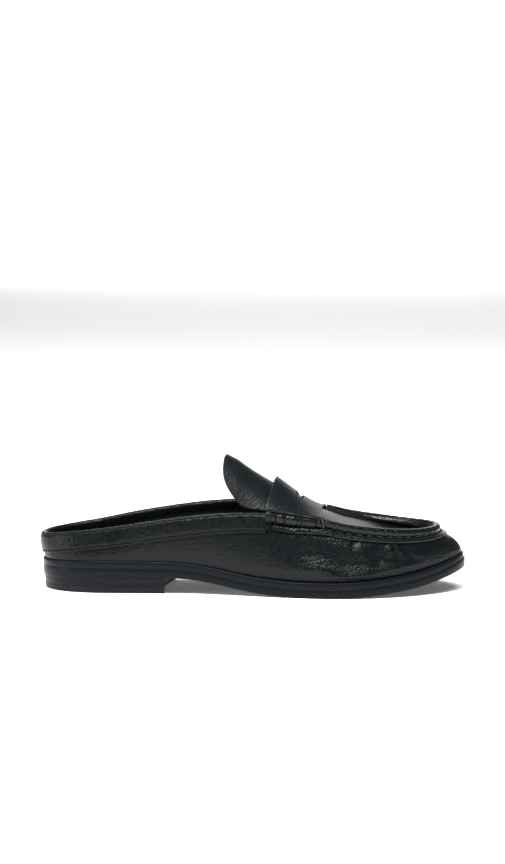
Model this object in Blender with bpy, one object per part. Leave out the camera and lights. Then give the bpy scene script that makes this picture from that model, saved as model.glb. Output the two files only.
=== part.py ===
"""Penny loafer mule, right shoe: black grained leather on a layered sole with a low heel.

The toe points along +X, the outer (lateral) side faces -Y, and the shoe stands on z = 0.
Lengths are in metres. Each form of the last is a short table, whose rows are shares of the sizes that they follow.
"""

import math
from collections import namedtuple

import bpy
import numpy as np

# Sizes of the last and the sole
LENGTH = 0.2668
BALL_WIDTH = 0.092
HEEL_HEIGHT = 0.0107
TOE_SPRING = 0.0142
SIDE_HEIGHT = 0.038
INSTEP_RISE = 0.0674

# Thicknesses and clearances
GAP = 0.0003
WALL = 0.0020
OUTSOLE_THICK = 0.0050
WELT_THICK = 0.0044
INSOLE_THICK = 0.0026
TOP_PIECE_THICK = 0.0037

# Edges of the sole
WELT_MARGIN = 0.0022
TOE_TAPER = 0.0014
EDGE_ROUND = 0.0005
HEEL_TAPER = 0.0013
HEEL_INSET = 0.0004
BREAST_LATERAL = 0.298 * LENGTH
BREAST_MEDIAL = 0.311 * LENGTH
BREAST_HOLLOW = 0.0030

# The collar's folded band
BAND_THICK = 0.0010
BAND_DEPTH = 0.0106
BAND_TURN_IN = 0.0032

# The rolled seam round the plug, and the beef rolls
ROLL_START = 0.5346 * LENGTH
ROLL_END = 0.6680 * LENGTH
ROLL_CLEARANCE = 0.0005
LIP_ABOVE = 0.0039
LIP_BELOW = 0.0022
LIP_HEIGHT = 0.0049
FLANGE_WIDTH = 0.0040
FLANGE_THICK = 0.0010
BEEF_HEIGHT = 0.0056
BEEF_ABOVE = 0.0046
BEEF_BELOW = 0.0043
BEEF_WRAPS = 5
WRAP_PINCH = 0.0007

# The tongue
TONGUE_THICK = 0.0024
TONGUE_LAP = 0.0060
TONGUE_FRONT = 0.5740 * LENGTH
TONGUE_BACK = 0.4270 * LENGTH
TONGUE_REACH = 0.90
TONGUE_NARROWING = 0.085
TONGUE_CORNER = 0.26
TONGUE_DIP = 0.045
TONGUE_TUCK = 0.0025
TONGUE_INSET = 0.0038

# The saddle strap
STRAP_THICK = 0.0016
STRAP_BACK = 0.5515 * LENGTH
STRAP_FRONT = 0.6598 * LENGTH
STRAP_FLARE_BACK = 0.0055
STRAP_FLARE_FRONT = 0.0022
STRAP_LIFT = 0.0034
STRAP_SEAT = 0.0030
STRAP_INSET = 0.0019
SLIT_PLACE = 0.6071 * LENGTH
SLIT_WIDTH = 0.0050
SLIT_REACH = 0.72
SLIT_END_WIDTH = 0.0007

# Counts of facets
SIDE_COLUMNS = 40
WALL_ROWS = 7
BAND_COLUMNS = 23
PLUG_COLUMNS = 10
SOLE_COLUMNS = 4
STRAP_COLUMNS = 18
TONGUE_ROWS = 9
TONGUE_COLUMNS = 16

LATERAL, MEDIAL = -1, 1
THROAT_SHARE = 0.5795

# The sole's outline from above: along is a share of LENGTH from the heel, the sides are shares of BALL_WIDTH.
Outline = namedtuple("Outline", "along lateral medial")
OUTLINE = [
    Outline(0.000, 0.000, 0.000),
    Outline(0.010, 0.130, 0.130),
    Outline(0.035, 0.225, 0.225),
    Outline(0.075, 0.294, 0.290),
    Outline(0.130, 0.333, 0.324),
    Outline(0.200, 0.340, 0.325),
    Outline(0.280, 0.340, 0.305),
    Outline(0.360, 0.350, 0.294),
    Outline(0.440, 0.382, 0.323),
    Outline(0.520, 0.428, 0.383),
    Outline(0.600, 0.474, 0.445),
    Outline(0.680, 0.500, 0.488),
    Outline(0.760, 0.485, 0.500),
    Outline(0.830, 0.430, 0.478),
    Outline(0.890, 0.348, 0.423),
    Outline(0.935, 0.258, 0.350),
    Outline(0.968, 0.165, 0.262),
    Outline(0.990, 0.070, 0.166),
    Outline(1.000, -0.045, 0.045),
]

# The upper's top edge, a row for each row of OUTLINE: the collar back to front, then the seam round the plug.
# The sides are shares of BALL_WIDTH, and the rises above the sole are shares of SIDE_HEIGHT.
TopEdge = namedtuple("TopEdge", "along lateral medial rise medial_rise")
TOP_EDGE = [
    TopEdge(-0.0015, 0.000, 0.000, 0.358, 0.358),
    TopEdge(0.009, 0.122, 0.122, 0.368, 0.368),
    TopEdge(0.037, 0.205, 0.205, 0.386, 0.382),
    TopEdge(0.078, 0.262, 0.260, 0.416, 0.410),
    TopEdge(0.132, 0.292, 0.288, 0.458, 0.462),
    TopEdge(0.200, 0.312, 0.304, 0.529, 0.556),
    TopEdge(0.280, 0.325, 0.312, 0.626, 0.660),
    TopEdge(0.360, 0.333, 0.318, 0.739, 0.775),
    TopEdge(0.440, 0.345, 0.330, 0.887, 0.915),
    TopEdge(0.515, 0.360, 0.350, 1.000, 1.015),
    TopEdge(0.572, 0.368, 0.362, 0.984, 0.990),
    TopEdge(0.650, 0.366, 0.362, 0.924, 0.924),
    TopEdge(0.720, 0.354, 0.355, 0.808, 0.808),
    TopEdge(0.785, 0.330, 0.340, 0.700, 0.700),
    TopEdge(0.842, 0.286, 0.312, 0.605, 0.605),
    TopEdge(0.884, 0.220, 0.265, 0.538, 0.538),
    TopEdge(0.912, 0.146, 0.204, 0.492, 0.492),
    TopEdge(0.928, 0.060, 0.124, 0.462, 0.462),
    TopEdge(0.933, -0.033, 0.033, 0.452, 0.452),
]

# How the wall swells between sole and top edge: the lower handle stands out by swell at the height low,
# the upper one by shoulder at drop below the edge. Swell and shoulder are shares of BALL_WIDTH, the others of the wall.
WallForm = namedtuple("WallForm", "along swell low shoulder drop")
WALL_FORM = [
    WallForm(0.00, 0.004, 0.30, 0.000, 0.35),
    WallForm(0.13, 0.012, 0.30, 0.008, 0.35),
    WallForm(0.28, 0.022, 0.30, 0.014, 0.35),
    WallForm(0.44, 0.032, 0.28, 0.030, 0.35),
    WallForm(0.60, 0.036, 0.24, 0.052, 0.33),
    WallForm(0.76, 0.032, 0.22, 0.076, 0.27),
    WallForm(0.89, 0.018, 0.28, 0.090, 0.15),
    WallForm(0.97, 0.006, 0.34, 0.092, 0.06),
    WallForm(1.00, 0.002, 0.36, 0.092, 0.03),
]

# The instep's middle line above the sole, in shares of INSTEP_RISE.
Crown = namedtuple("Crown", "along rise")
CROWN = [
    Crown(0.4295, 1.036),
    Crown(0.4605, 0.998),
    Crown(0.4865, 0.943),
    Crown(0.5125, 0.892),
    Crown(0.5385, 0.842),
    Crown(0.5765, 0.757),
    Crown(0.6175, 0.665),
    Crown(0.6545, 0.594),
    Crown(0.7045, 0.510),
    Crown(0.7645, 0.436),
    Crown(0.8145, 0.345),
    Crown(0.8495, 0.297),
    Crown(0.8975, 0.254),
    Crown(0.9515, 0.237),
]
ARCH_POWER = 2.2
CROWN_FADE_START, CROWN_FADE_END = 0.88, 0.933

# The sole's underside: its arch is in shares of HEEL_HEIGHT, its spring in shares of TOE_SPRING.
Underside = namedtuple("Underside", "along arch spring")
UNDERSIDE = [
    Underside(0.000, 0.88, 0.000),
    Underside(0.050, 0.94, 0.000),
    Underside(0.110, 0.985, 0.000),
    Underside(0.180, 1.00, 0.000),
    Underside(0.250, 0.99, 0.000),
    Underside(0.300, 0.96, 0.000),
    Underside(0.340, 0.90, 0.000),
    Underside(0.380, 0.79, 0.000),
    Underside(0.420, 0.62, 0.000),
    Underside(0.460, 0.42, 0.000),
    Underside(0.510, 0.21, 0.000),
    Underside(0.560, 0.08, 0.000),
    Underside(0.620, 0.00, 0.000),
    Underside(0.700, 0.00, 0.000),
    Underside(0.740, 0.00, 0.035),
    Underside(0.790, 0.00, 0.120),
    Underside(0.835, 0.00, 0.225),
    Underside(0.885, 0.00, 0.375),
    Underside(0.935, 0.00, 0.605),
    Underside(0.970, 0.00, 0.800),
    Underside(1.000, 0.00, 1.000),
]
FLAT_START, FLAT_END = 0.620, 0.700

# How far the upper stands in from the welt's edge, in shares of WELT_MARGIN.
Margin = namedtuple("Margin", "along inset")
MARGIN = [
    Margin(0.00, 0.40),
    Margin(0.20, 0.45),
    Margin(0.45, 0.65),
    Margin(0.62, 1.00),
    Margin(0.85, 1.00),
    Margin(0.97, 0.60),
    Margin(1.00, 0.40),
]


# Curves through the tables


def column(rows, name):
    return np.array([getattr(row, name) for row in rows], float)


def even_curve(places, values):
    """A smooth function through the values that never overshoots them."""
    step = np.diff(places)
    slope = np.diff(values) / step
    tangent = np.zeros(len(values))
    tangent[0], tangent[-1] = slope[0], slope[-1]
    for i in range(1, len(values) - 1):
        if slope[i - 1] * slope[i] > 0:
            before, after = 2 * step[i] + step[i - 1], step[i] + 2 * step[i - 1]
            tangent[i] = (before + after) / (before / slope[i - 1] + after / slope[i])

    def curve(place):
        place = min(max(place, places[0]), places[-1])
        i = min(int(np.searchsorted(places, place, "right")) - 1, len(step) - 1)
        t = (place - places[i]) / step[i]
        rest = 1 - t
        ends = values[i] * rest * rest * (1 + 2 * t) + values[i + 1] * t * t * (1 + 2 * rest)
        return ends + step[i] * t * rest * (tangent[i] * rest - tangent[i + 1] * t)

    return curve


def table_curve(rows, name):
    return even_curve(column(rows, "along"), column(rows, name))


def closed_curve(places, points, period):
    """A periodic cubic spline through the points of a closed loop."""
    count = len(places)
    step = np.array([(places[(i + 1) % count] - places[i]) % period for i in range(count)])
    chord = (np.roll(points, -1, axis=0) - points) / step[:, None]
    system = np.zeros((count, count))
    for i in range(count):
        system[i, i - 1] += step[i]
        system[i, i] += 2 * (step[i - 1] + step[i])
        system[i, (i + 1) % count] += step[i - 1]
    before = np.roll(step, 1)
    known = 3 * (step[:, None] * np.roll(chord, 1, axis=0) + before[:, None] * chord)
    tangent = np.linalg.solve(system, known)

    def curve(place):
        place = (place - places[0]) % period + places[0]
        i = int(np.searchsorted(places, place, "right")) - 1
        j = (i + 1) % count
        t = (place - places[i]) / step[i]
        rest = 1 - t
        ends = points[i] * rest * rest * (1 + 2 * t) + points[j] * t * t * (1 + 2 * rest)
        return ends + step[i] * t * rest * (tangent[i] * rest - tangent[j] * t)

    return curve


def rail_curve(rows, rises=None):
    """A closed curve round the shoe through a table's two sides. Its place runs 0 at the heel to 1 at the toe on the
    medial side, and 0 to -1 on the lateral one."""
    along = column(rows, "along") * LENGTH - LENGTH / 2
    sides = {LATERAL: -column(rows, "lateral") * BALL_WIDTH, MEDIAL: column(rows, "medial") * BALL_WIDTH}
    last = len(rows) - 1
    order = [(MEDIAL, i) for i in range(last + 1)] + [(LATERAL, i) for i in range(last - 1, 0, -1)]
    points = []
    for side, i in order:
        point = [along[i], sides[side][i]]
        if rises:
            point.append(rises[side][i])
        points.append(point)
    places = [STATION[i] if side == MEDIAL else 2 - STATION[i] for side, i in order]
    return closed_curve(np.array(places), np.array(points), 2.0)


def stations():
    """The place of each table row round the shoe: its share of the way along the sole's edge, both sides averaged."""
    along = column(OUTLINE, "along") * LENGTH
    lateral = np.hypot(np.diff(along), np.diff(column(OUTLINE, "lateral") * BALL_WIDTH))
    medial = np.hypot(np.diff(along), np.diff(column(OUTLINE, "medial") * BALL_WIDTH))
    reached = np.concatenate([[0], np.cumsum(lateral + medial)])
    return reached / reached[-1]


STATION = stations()
OUTLINE_RAIL = rail_curve(OUTLINE)
EDGE_RAIL = rail_curve(
    TOP_EDGE, {LATERAL: column(TOP_EDGE, "rise"), MEDIAL: column(TOP_EDGE, "medial_rise")}
)
ARCH_SHARE, SPRING_SHARE = table_curve(UNDERSIDE, "arch"), table_curve(UNDERSIDE, "spring")
MARGIN_SHARE = table_curve(MARGIN, "inset")
CROWN_SHARE = table_curve(CROWN, "rise")
SWELL, LOW = table_curve(WALL_FORM, "swell"), table_curve(WALL_FORM, "low")
SHOULDER, DROP = table_curve(WALL_FORM, "shoulder"), table_curve(WALL_FORM, "drop")


def ease(value, start, end):
    share = min(max((value - start) / (end - start), 0.0), 1.0)
    return share * share * (3 - 2 * share)


def share_of(x):
    return x / LENGTH + 0.5


def from_heel(distance):
    return distance - LENGTH / 2


# Heights of the sole


def underside(x):
    share = share_of(x)
    return HEEL_HEIGHT * ARCH_SHARE(share) + TOE_SPRING * SPRING_SHARE(share)


def outsole_top(x):
    return underside(x) + OUTSOLE_THICK


def seat(x):
    """The top of the welt, which the upper and the insole stand on."""
    return outsole_top(x) + GAP + WELT_THICK


# The last: outline, walls and instep


def outward(place):
    """The level direction straight out of the sole's edge."""
    turn = 1e-4
    along = OUTLINE_RAIL(place + turn) - OUTLINE_RAIL(place - turn)
    return np.array([-along[1], along[0], 0.0]) / np.linalg.norm(along)


def sole_edge(place, inset=0.0):
    """A point of the sole's edge from above, moved in by inset."""
    return OUTLINE_RAIL(place) - outward(place)[:2] * inset


def toe_taper(place):
    return TOE_TAPER * ease(abs(place), 0.82, 1.0)


def feather(place):
    """Where the upper meets the welt."""
    share = share_of(OUTLINE_RAIL(place)[0])
    x, y = sole_edge(place, toe_taper(place) + WELT_MARGIN * MARGIN_SHARE(share))
    return np.array([x, y, seat(x) + GAP])


def top_edge(place):
    x, y, rise = EDGE_RAIL(place)
    return np.array([x, y, seat(x) + rise * SIDE_HEIGHT])


def wall_point(place, up):
    """A point of the upper's outer wall: up is 0 at the sole and 1 at the top edge."""
    foot, top = feather(place), top_edge(place)
    share = share_of(OUTLINE_RAIL(place)[0])
    out = outward(place)
    tall = np.array([0.0, 0.0, top[2] - foot[2]])
    low = foot + out * SWELL(share) * BALL_WIDTH + tall * LOW(share)
    high = top + out * SHOULDER(share) * BALL_WIDTH - tall * DROP(share)
    rest = 1 - up
    return foot * rest**3 + low * 3 * rest**2 * up + high * 3 * rest * up**2 + top * up**3


def wall_normal(place, up):
    step = 1e-3
    around = wall_point(place + step, up) - wall_point(place - step, up)
    upward = wall_point(place, min(up + step, 1.0)) - wall_point(place, max(up - step, 0.0))
    normal = np.cross(upward, around)
    return normal / np.linalg.norm(normal)


def off_edge(place, down, out):
    """A point that lies down the wall from its top edge, and out from its face. Above the edge, down is negative."""
    if down <= 0:
        normal = wall_normal(place, 1.0)
        below = wall_point(place, 0.98) - wall_point(place, 1.0)
        return wall_point(place, 1.0) + below / np.linalg.norm(below) * down + normal * out
    up = 1.0
    for _ in range(4):
        reached = np.linalg.norm(wall_point(place, up) - top_edge(place))
        slope = np.linalg.norm(wall_point(place, up) - wall_point(place, up - 0.01)) / 0.01
        up -= (down - reached) / slope
    return wall_point(place, up) + wall_normal(place, up) * out


def crown(x):
    return seat(x) + INSTEP_RISE * CROWN_SHARE(share_of(x))


def plug_point(place, across):
    """A point of the plug: across is -1 at the lateral seam and 1 at the medial one."""
    lateral, medial = top_edge(-place), top_edge(place)
    base = lateral + (medial - lateral) * (across + 1) / 2
    fade = 1 - ease(share_of(base[0]), CROWN_FADE_START, CROWN_FADE_END)
    arch = (crown(base[0]) - (lateral[2] + medial[2]) / 2) * fade
    base[2] += arch * (1 - abs(across) ** ARCH_POWER)
    return base


def place_at(rail, x, side):
    """The place round the shoe where a rail passes x."""
    low, high = 0.0, 1.0
    for _ in range(40):
        middle = (low + high) / 2
        if rail(side * middle)[0] < x:
            low = middle
        else:
            high = middle
    return side * (low + high) / 2


# Meshes


def add_object(name, points, faces, material):
    mesh = bpy.data.meshes.new(name)
    mesh.from_pydata([tuple(point) for point in points], [], faces)
    mesh.materials.append(material)
    mesh.shade_smooth()
    mesh.set_sharp_from_angle(angle=math.radians(40))
    obj = bpy.data.objects.new(name, mesh)
    bpy.context.collection.objects.link(obj)
    return obj


def vertex_normals(points, faces):
    normals = np.zeros_like(points)
    for face in faces:
        corners = points[list(face)]
        normal = np.cross(corners[2] - corners[0], corners[-1] - corners[1 if len(face) > 3 else 0])
        for corner in face:
            normals[corner] += normal
    return normals / np.linalg.norm(normals, axis=1)[:, None]


def open_edges(faces):
    """The edges that only one face uses, each in that face's own direction."""
    used = {}
    for face in faces:
        for a, b in zip(face, face[1:] + face[:1]):
            used[a, b] = True
    return [edge for edge in used if edge[::-1] not in used]


def sheet(name, points, faces, material, behind=0.0, before=0.0):
    """A closed solid from a sheet, whose faces point outward: it reaches behind and before the sheet."""
    points = np.array(points, float)
    normals = vertex_normals(points, faces)
    points, behind = points + normals * before, points - normals * behind
    count = len(points)
    solid = [list(face) for face in faces]
    solid += [[count + corner for corner in reversed(face)] for face in faces]
    solid += [[b, a, count + a, count + b] for a, b in open_edges(faces)]
    return add_object(name, np.vstack([points, behind]), solid, material)


def grid_faces(rows, columns, start=0, closed=False):
    """Faces of a grid of points stored row by row. Closed joins the last column to the first."""
    faces = []
    for i in range(rows - 1):
        for j in range(columns if closed else columns - 1):
            k = (j + 1) % columns
            low, high = start + i * columns, start + (i + 1) * columns
            faces.append([low + j, low + k, high + k, high + j])
    return faces


def sweep(name, sections, material):
    """A closed solid through sections, each a loop of as many points, with flat ends."""
    rows, columns = len(sections), len(sections[0])
    faces = grid_faces(rows, columns, closed=True)
    faces.append(list(range(columns))[::-1])
    faces.append([(rows - 1) * columns + j for j in range(columns)])
    return add_object(name, [point for section in sections for point in section], faces, material)


def spread(start, end, count):
    """Places from start to end, closer together at both ends, where the outline turns."""
    return [start + (end - start) * (0.5 - 0.5 * math.cos(math.pi * i / count)) for i in range(count + 1)]


def around_places():
    """Places of the columns on one side, closer where the heel and the toe turn."""
    even = np.linspace(0, 1, SIDE_COLUMNS + 1)
    return list(even - 0.045 * np.sin(2 * math.pi * even))


def add_cap(places, loop_point, columns):
    """A cap's points and faces between the two sides of a loop, which meet at one point at each end."""
    points = [loop_point(0.0)]
    for place in places[1:-1]:
        lateral, medial = loop_point(-place), loop_point(place)
        for j in range(columns + 1):
            points.append(lateral + (medial - lateral) * j / columns)
    points.append(loop_point(1.0))
    wide, rows = columns + 1, len(places) - 2
    faces = [[0, 1 + j, 2 + j] for j in range(columns)]
    faces += [list(reversed(face)) for face in grid_faces(rows, wide, start=1)]
    last = len(points) - 1
    faces += [[last, last - wide + j + 1, last - wide + j] for j in range(columns)]
    return points, faces


def sole_places():
    """Columns of the sole, with one at each end of its flat spot."""
    places = around_places()
    for share in (FLAT_START, FLAT_END):
        for side_place in [abs(place_at(OUTLINE_RAIL, from_heel(share * LENGTH), MEDIAL))]:
            nearest = min(range(len(places)), key=lambda i: abs(places[i] - side_place))
            places[nearest] = side_place
    return places


def sole_layer(name, loops, material):
    """A layer of the sole: each loop is a function of the place round the shoe, from the underside up."""
    places = sole_places()
    under, under_faces = add_cap(places, loops[0], SOLE_COLUMNS)
    over, over_faces = add_cap(places, loops[-1], SOLE_COLUMNS)
    points = list(under) + list(over)
    first_over = len(under)
    faces = [face[::-1] for face in under_faces]
    faces += [[first_over + corner for corner in face] for face in over_faces]
    wide = SOLE_COLUMNS + 1
    lateral = [1 + i * wide for i in range(len(places) - 2)]
    medial = [corner + SOLE_COLUMNS for corner in lateral]
    ring = [0] + lateral + [first_over - 1] + medial[::-1]
    loop_places = [0.0] + [-p for p in places[1:-1]] + [1.0] + places[1:-1][::-1]
    below = ring
    for loop in loops[1:-1]:
        above = list(range(len(points), len(points) + len(ring)))
        points += [loop(place) for place in loop_places]
        faces += ring_faces(below, above)
        below = above
    faces += ring_faces(below, [first_over + corner for corner in ring])
    return add_object(name, points, faces, material)


def ring_faces(below, above):
    count = len(below)
    return [[below[i], below[(i + 1) % count], above[(i + 1) % count], above[i]] for i in range(count)]


# Materials


def leather(name, colour, roughness):
    material = bpy.data.materials.new(name)
    material.use_nodes = True
    shader = material.node_tree.nodes["Principled BSDF"]
    shader.inputs["Base Color"].default_value = (*colour, 1.0)
    shader.inputs["Roughness"].default_value = roughness
    shader.inputs["Metallic"].default_value = 0.0
    return material


# The pieces


def make_outsole(material):
    def loop(inset, height):
        def point(place):
            x, y = sole_edge(place, inset)
            return np.array([x, y, underside(x) + height])

        return point

    return sole_layer(
        "outsole", [loop(EDGE_ROUND, 0), loop(0, EDGE_ROUND), loop(0, OUTSOLE_THICK)], material
    )


def make_welt(material):
    def loop(taper, inset, height):
        def point(place):
            x, y = sole_edge(place, toe_taper(place) * taper + inset)
            return np.array([x, y, outsole_top(x) + GAP + height])

        return point

    return sole_layer(
        "welt",
        [loop(0.4, 0, 0), loop(1, 0, WELT_THICK - EDGE_ROUND), loop(1, EDGE_ROUND, WELT_THICK)],
        material,
    )


def make_insole(material):
    inset = WALL + 2 * GAP

    def loop(height):
        def point(place):
            x, y, _ = feather(place) - outward(place) * inset
            return np.array([x, y, seat(x) + GAP + height])

        return point

    return sole_layer("insole", [loop(0), loop(INSOLE_THICK)], material)


def heel_layer(name, insets, heights, material):
    """A layer of the heel, closed at the front by the breast, which is hollowed across."""
    rows = 16
    far = {
        LATERAL: place_at(OUTLINE_RAIL, from_heel(BREAST_LATERAL), LATERAL),
        MEDIAL: place_at(OUTLINE_RAIL, from_heel(BREAST_MEDIAL), MEDIAL),
    }
    shares = spread(0, 1, 2 * rows)[: rows + 1]
    shares = [share / shares[-1] for share in shares]
    points, faces = [], []
    for inset, height in zip(insets, heights):
        for share in shares:
            lateral, medial = (sole_edge(far[side] * share, inset) for side in (LATERAL, MEDIAL))
            for j in range(SOLE_COLUMNS + 1):
                x, y = lateral + (medial - lateral) * j / SOLE_COLUMNS
                middle = 1 - (2 * j / SOLE_COLUMNS - 1) ** 2
                x -= BREAST_HOLLOW * middle * share**4
                points.append(np.array([x, y, height(x)]))
                if share == 0:
                    break
    wide = SOLE_COLUMNS + 1
    level = 1 + rows * wide
    for start, faces_up in ((0, False), ((len(insets) - 1) * level, True)):
        cap = [[start, start + 1 + j, start + 2 + j] for j in range(SOLE_COLUMNS)]
        cap += [face[::-1] for face in grid_faces(rows, wide, start=start + 1)]
        faces += cap if faces_up else [face[::-1] for face in cap]
    lateral = [1 + i * wide for i in range(rows)]
    breast = [lateral[-1] + j for j in range(1, SOLE_COLUMNS)]
    medial = [corner + SOLE_COLUMNS for corner in lateral]
    ring = [0] + lateral + breast + medial[::-1]
    for i in range(len(insets) - 1):
        faces += ring_faces(
            [corner + i * level for corner in ring], [corner + (i + 1) * level for corner in ring]
        )
    return add_object(name, points, faces, material)


def make_heel(stack_material, rubber):
    split = TOP_PIECE_THICK / HEEL_HEIGHT

    def inset(share):
        return HEEL_INSET + HEEL_TAPER * (1 - share)

    heel_layer(
        "heel_top_piece",
        [inset(0) + EDGE_ROUND, inset(0), inset(split)],
        [lambda x: 0.0, lambda x: EDGE_ROUND, lambda x: TOP_PIECE_THICK],
        rubber,
    )
    heel_layer(
        "heel_block",
        [inset(split), inset(1)],
        [lambda x: TOP_PIECE_THICK + GAP, lambda x: underside(x) - GAP],
        stack_material,
    )


def make_upper(material):
    """Vamp, quarters and plug in one wall, open at the collar, the throat and the sole."""
    places = around_places()
    throat = place_at(EDGE_RAIL, from_heel(THROAT_SHARE * LENGTH), MEDIAL)
    first = min(range(len(places)), key=lambda i: abs(places[i] - throat))
    places[first] = throat
    loop = [0.0] + [-p for p in places[1:-1]] + [1.0] + places[1:-1][::-1]
    around = len(loop)
    points = [wall_point(place, i / WALL_ROWS) for i in range(WALL_ROWS + 1) for place in loop]
    faces = grid_faces(WALL_ROWS + 1, around, closed=True)
    top = WALL_ROWS * around
    rows = []
    for i in range(first, SIDE_COLUMNS):
        row = [top + i]
        for j in range(1, PLUG_COLUMNS):
            row.append(len(points))
            points.append(plug_point(places[i], 2 * j / PLUG_COLUMNS - 1))
        row.append(top + around - i)
        rows.append(row)
    for back, front in zip(rows, rows[1:]):
        faces += [[back[j], front[j], front[j + 1], back[j + 1]] for j in range(PLUG_COLUMNS)]
    tip = top + SIDE_COLUMNS
    faces += [[rows[-1][j], tip, rows[-1][j + 1]] for j in range(PLUG_COLUMNS)]
    return sheet("upper", points, faces, material, behind=WALL)


def make_collar_band(material):
    """A strip folded over the collar, from one beef roll round the heel to the other."""
    lateral = place_at(EDGE_RAIL, from_heel(ROLL_START) - GAP, LATERAL)
    medial = place_at(EDGE_RAIL, from_heel(ROLL_START) - GAP, MEDIAL)
    rising = np.linspace(0, 1, BAND_COLUMNS + 1)
    falling = rising[:0:-1]
    places = [side * share**1.3 for side, shares in ((medial, falling), (lateral, rising)) for share in shares]
    radius = WALL / 2 + GAP
    path = [(BAND_DEPTH * share, GAP) for share in (1.0, 0.66, 0.33, 0.08)]
    path += [
        (-radius * math.sin(math.radians(turn)), radius * math.cos(math.radians(turn)) - WALL / 2)
        for turn in (30, 75, 120, 165)
    ]
    path += [(BAND_TURN_IN * share, -WALL - 3 * GAP) for share in (0.3, 1.0)]
    points = [off_edge(place, down, out) for place in places for down, out in path]
    faces = [face[::-1] for face in grid_faces(len(places), len(path))]
    return sheet("collar_band", points, faces, material, before=BAND_THICK)


def roll_section(place, height, above, below, flange):
    """A loop of points round a rolled seam: a rounded roll, and the flange that lies on the wall below it."""
    base = ROLL_CLEARANCE
    loop = [(below, base), (0.0, base), (-above, base)]
    for turn in (150, 120, 90, 62, 38, 16):
        angle = math.radians(turn)
        reach = above if turn > 90 else below
        loop.append((reach * math.cos(angle), base + height * math.sin(angle)))
    loop += [(below, base + FLANGE_THICK), (below + flange, base + FLANGE_THICK), (below + flange, base)]
    return [off_edge(place, down, out) for down, out in loop]


def make_apron_roll(material):
    """The rolled seam from one beef roll round the toe to the other."""
    lateral = place_at(EDGE_RAIL, from_heel(ROLL_END) + GAP, LATERAL)
    medial = place_at(EDGE_RAIL, from_heel(ROLL_END) + GAP, MEDIAL)
    half = 21
    side_shares = [i / half for i in range(half + 1)]
    places = [lateral + (-1 - lateral) * share for share in side_shares]
    places += [medial + (1 - medial) * share for share in side_shares[::-1][1:]]
    sections = [
        roll_section(place, LIP_HEIGHT, LIP_ABOVE, LIP_BELOW, FLANGE_WIDTH) for place in places
    ]
    return sweep("apron_roll", sections, material)


def make_beef_roll(name, side, material):
    """The strap's end, bound in turns round the seam: the wraps pinch it into short rolls."""
    start = place_at(EDGE_RAIL, from_heel(ROLL_START), side)
    end = place_at(EDGE_RAIL, from_heel(ROLL_END), side)
    steps = BEEF_WRAPS * 4
    sections = []
    for i in range(steps + 1):
        share = i / steps
        pinch = WRAP_PINCH * math.cos(math.pi * share * BEEF_WRAPS) ** 6
        taper = 1 - 0.25 * ease(share, 0.5, 1.0)
        sections.append(
            roll_section(
                start + (end - start) * share,
                BEEF_HEIGHT * taper - pinch,
                BEEF_ABOVE * taper - pinch / 2,
                BEEF_BELOW * taper,
                FLANGE_WIDTH,
            )
        )
    if side == MEDIAL:
        sections = sections[::-1]
    return sweep(name, sections, material)


def arch_point(x, across, half_width, side_height, crown_height):
    """A point of an arch over the instep, across being -1 to 1."""
    rise = (crown_height - side_height) * (1 - abs(across) ** ARCH_POWER)
    return np.array([x, half_width * across, side_height + rise])


def edge_at(x):
    """Half the width between the upper's top edges, and their mean height, at x."""
    lateral = top_edge(place_at(EDGE_RAIL, x, LATERAL))
    medial = top_edge(place_at(EDGE_RAIL, x, MEDIAL))
    return (medial[1] - lateral[1]) / 2, (medial[1] + lateral[1]) / 2, (lateral[2] + medial[2]) / 2


def make_tongue(material):
    """A curved flap: its front is lapped under the plug, and its back stands up behind the strap."""
    front = from_heel(TONGUE_FRONT) + TONGUE_LAP
    length = TONGUE_FRONT + TONGUE_LAP - TONGUE_BACK
    points = []
    for i in range(TONGUE_ROWS + 1):
        down = 1 - (1 - i / TONGUE_ROWS) ** 1.3
        for j in range(TONGUE_COLUMNS + 1):
            across = 2 * j / TONGUE_COLUMNS - 1
            end = 1 - TONGUE_CORNER * across**8 - TONGUE_DIP * (1 - across**2) ** 2
            x = front - length * down * end
            half, middle, side_height = edge_at(x)
            lap = ease(x, from_heel(TONGUE_FRONT) - TONGUE_LAP, from_heel(TONGUE_FRONT))
            under = (WALL + GAP) * lap * 1.25
            reach = TONGUE_REACH - TONGUE_NARROWING * (1 - ease(x, from_heel(TONGUE_BACK), from_heel(LENGTH / 2)))
            point = arch_point(
                x,
                across * reach,
                half - TONGUE_INSET - under / 2,
                side_height - TONGUE_TUCK,
                crown(x) - under,
            )
            points.append(point + [0, middle, 0])
    faces = grid_faces(TONGUE_ROWS + 1, TONGUE_COLUMNS + 1)
    return sheet("tongue", points, faces, material, behind=TONGUE_THICK)


def strap_point(across, x):
    """A point of the strap's inner face: it lies on the plug in front and stands off the tongue behind."""
    half, middle, side_height = edge_at(x)
    share = (from_heel(STRAP_FRONT) - x) / (STRAP_FRONT - STRAP_BACK)
    lift = STRAP_LIFT * min(max(share, 0.0), 1.2)
    point = arch_point(
        x,
        across,
        half - STRAP_THICK - STRAP_INSET,
        side_height + STRAP_SEAT,
        crown(x) + GAP + lift,
    )
    return point + [0, middle, 0]


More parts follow.
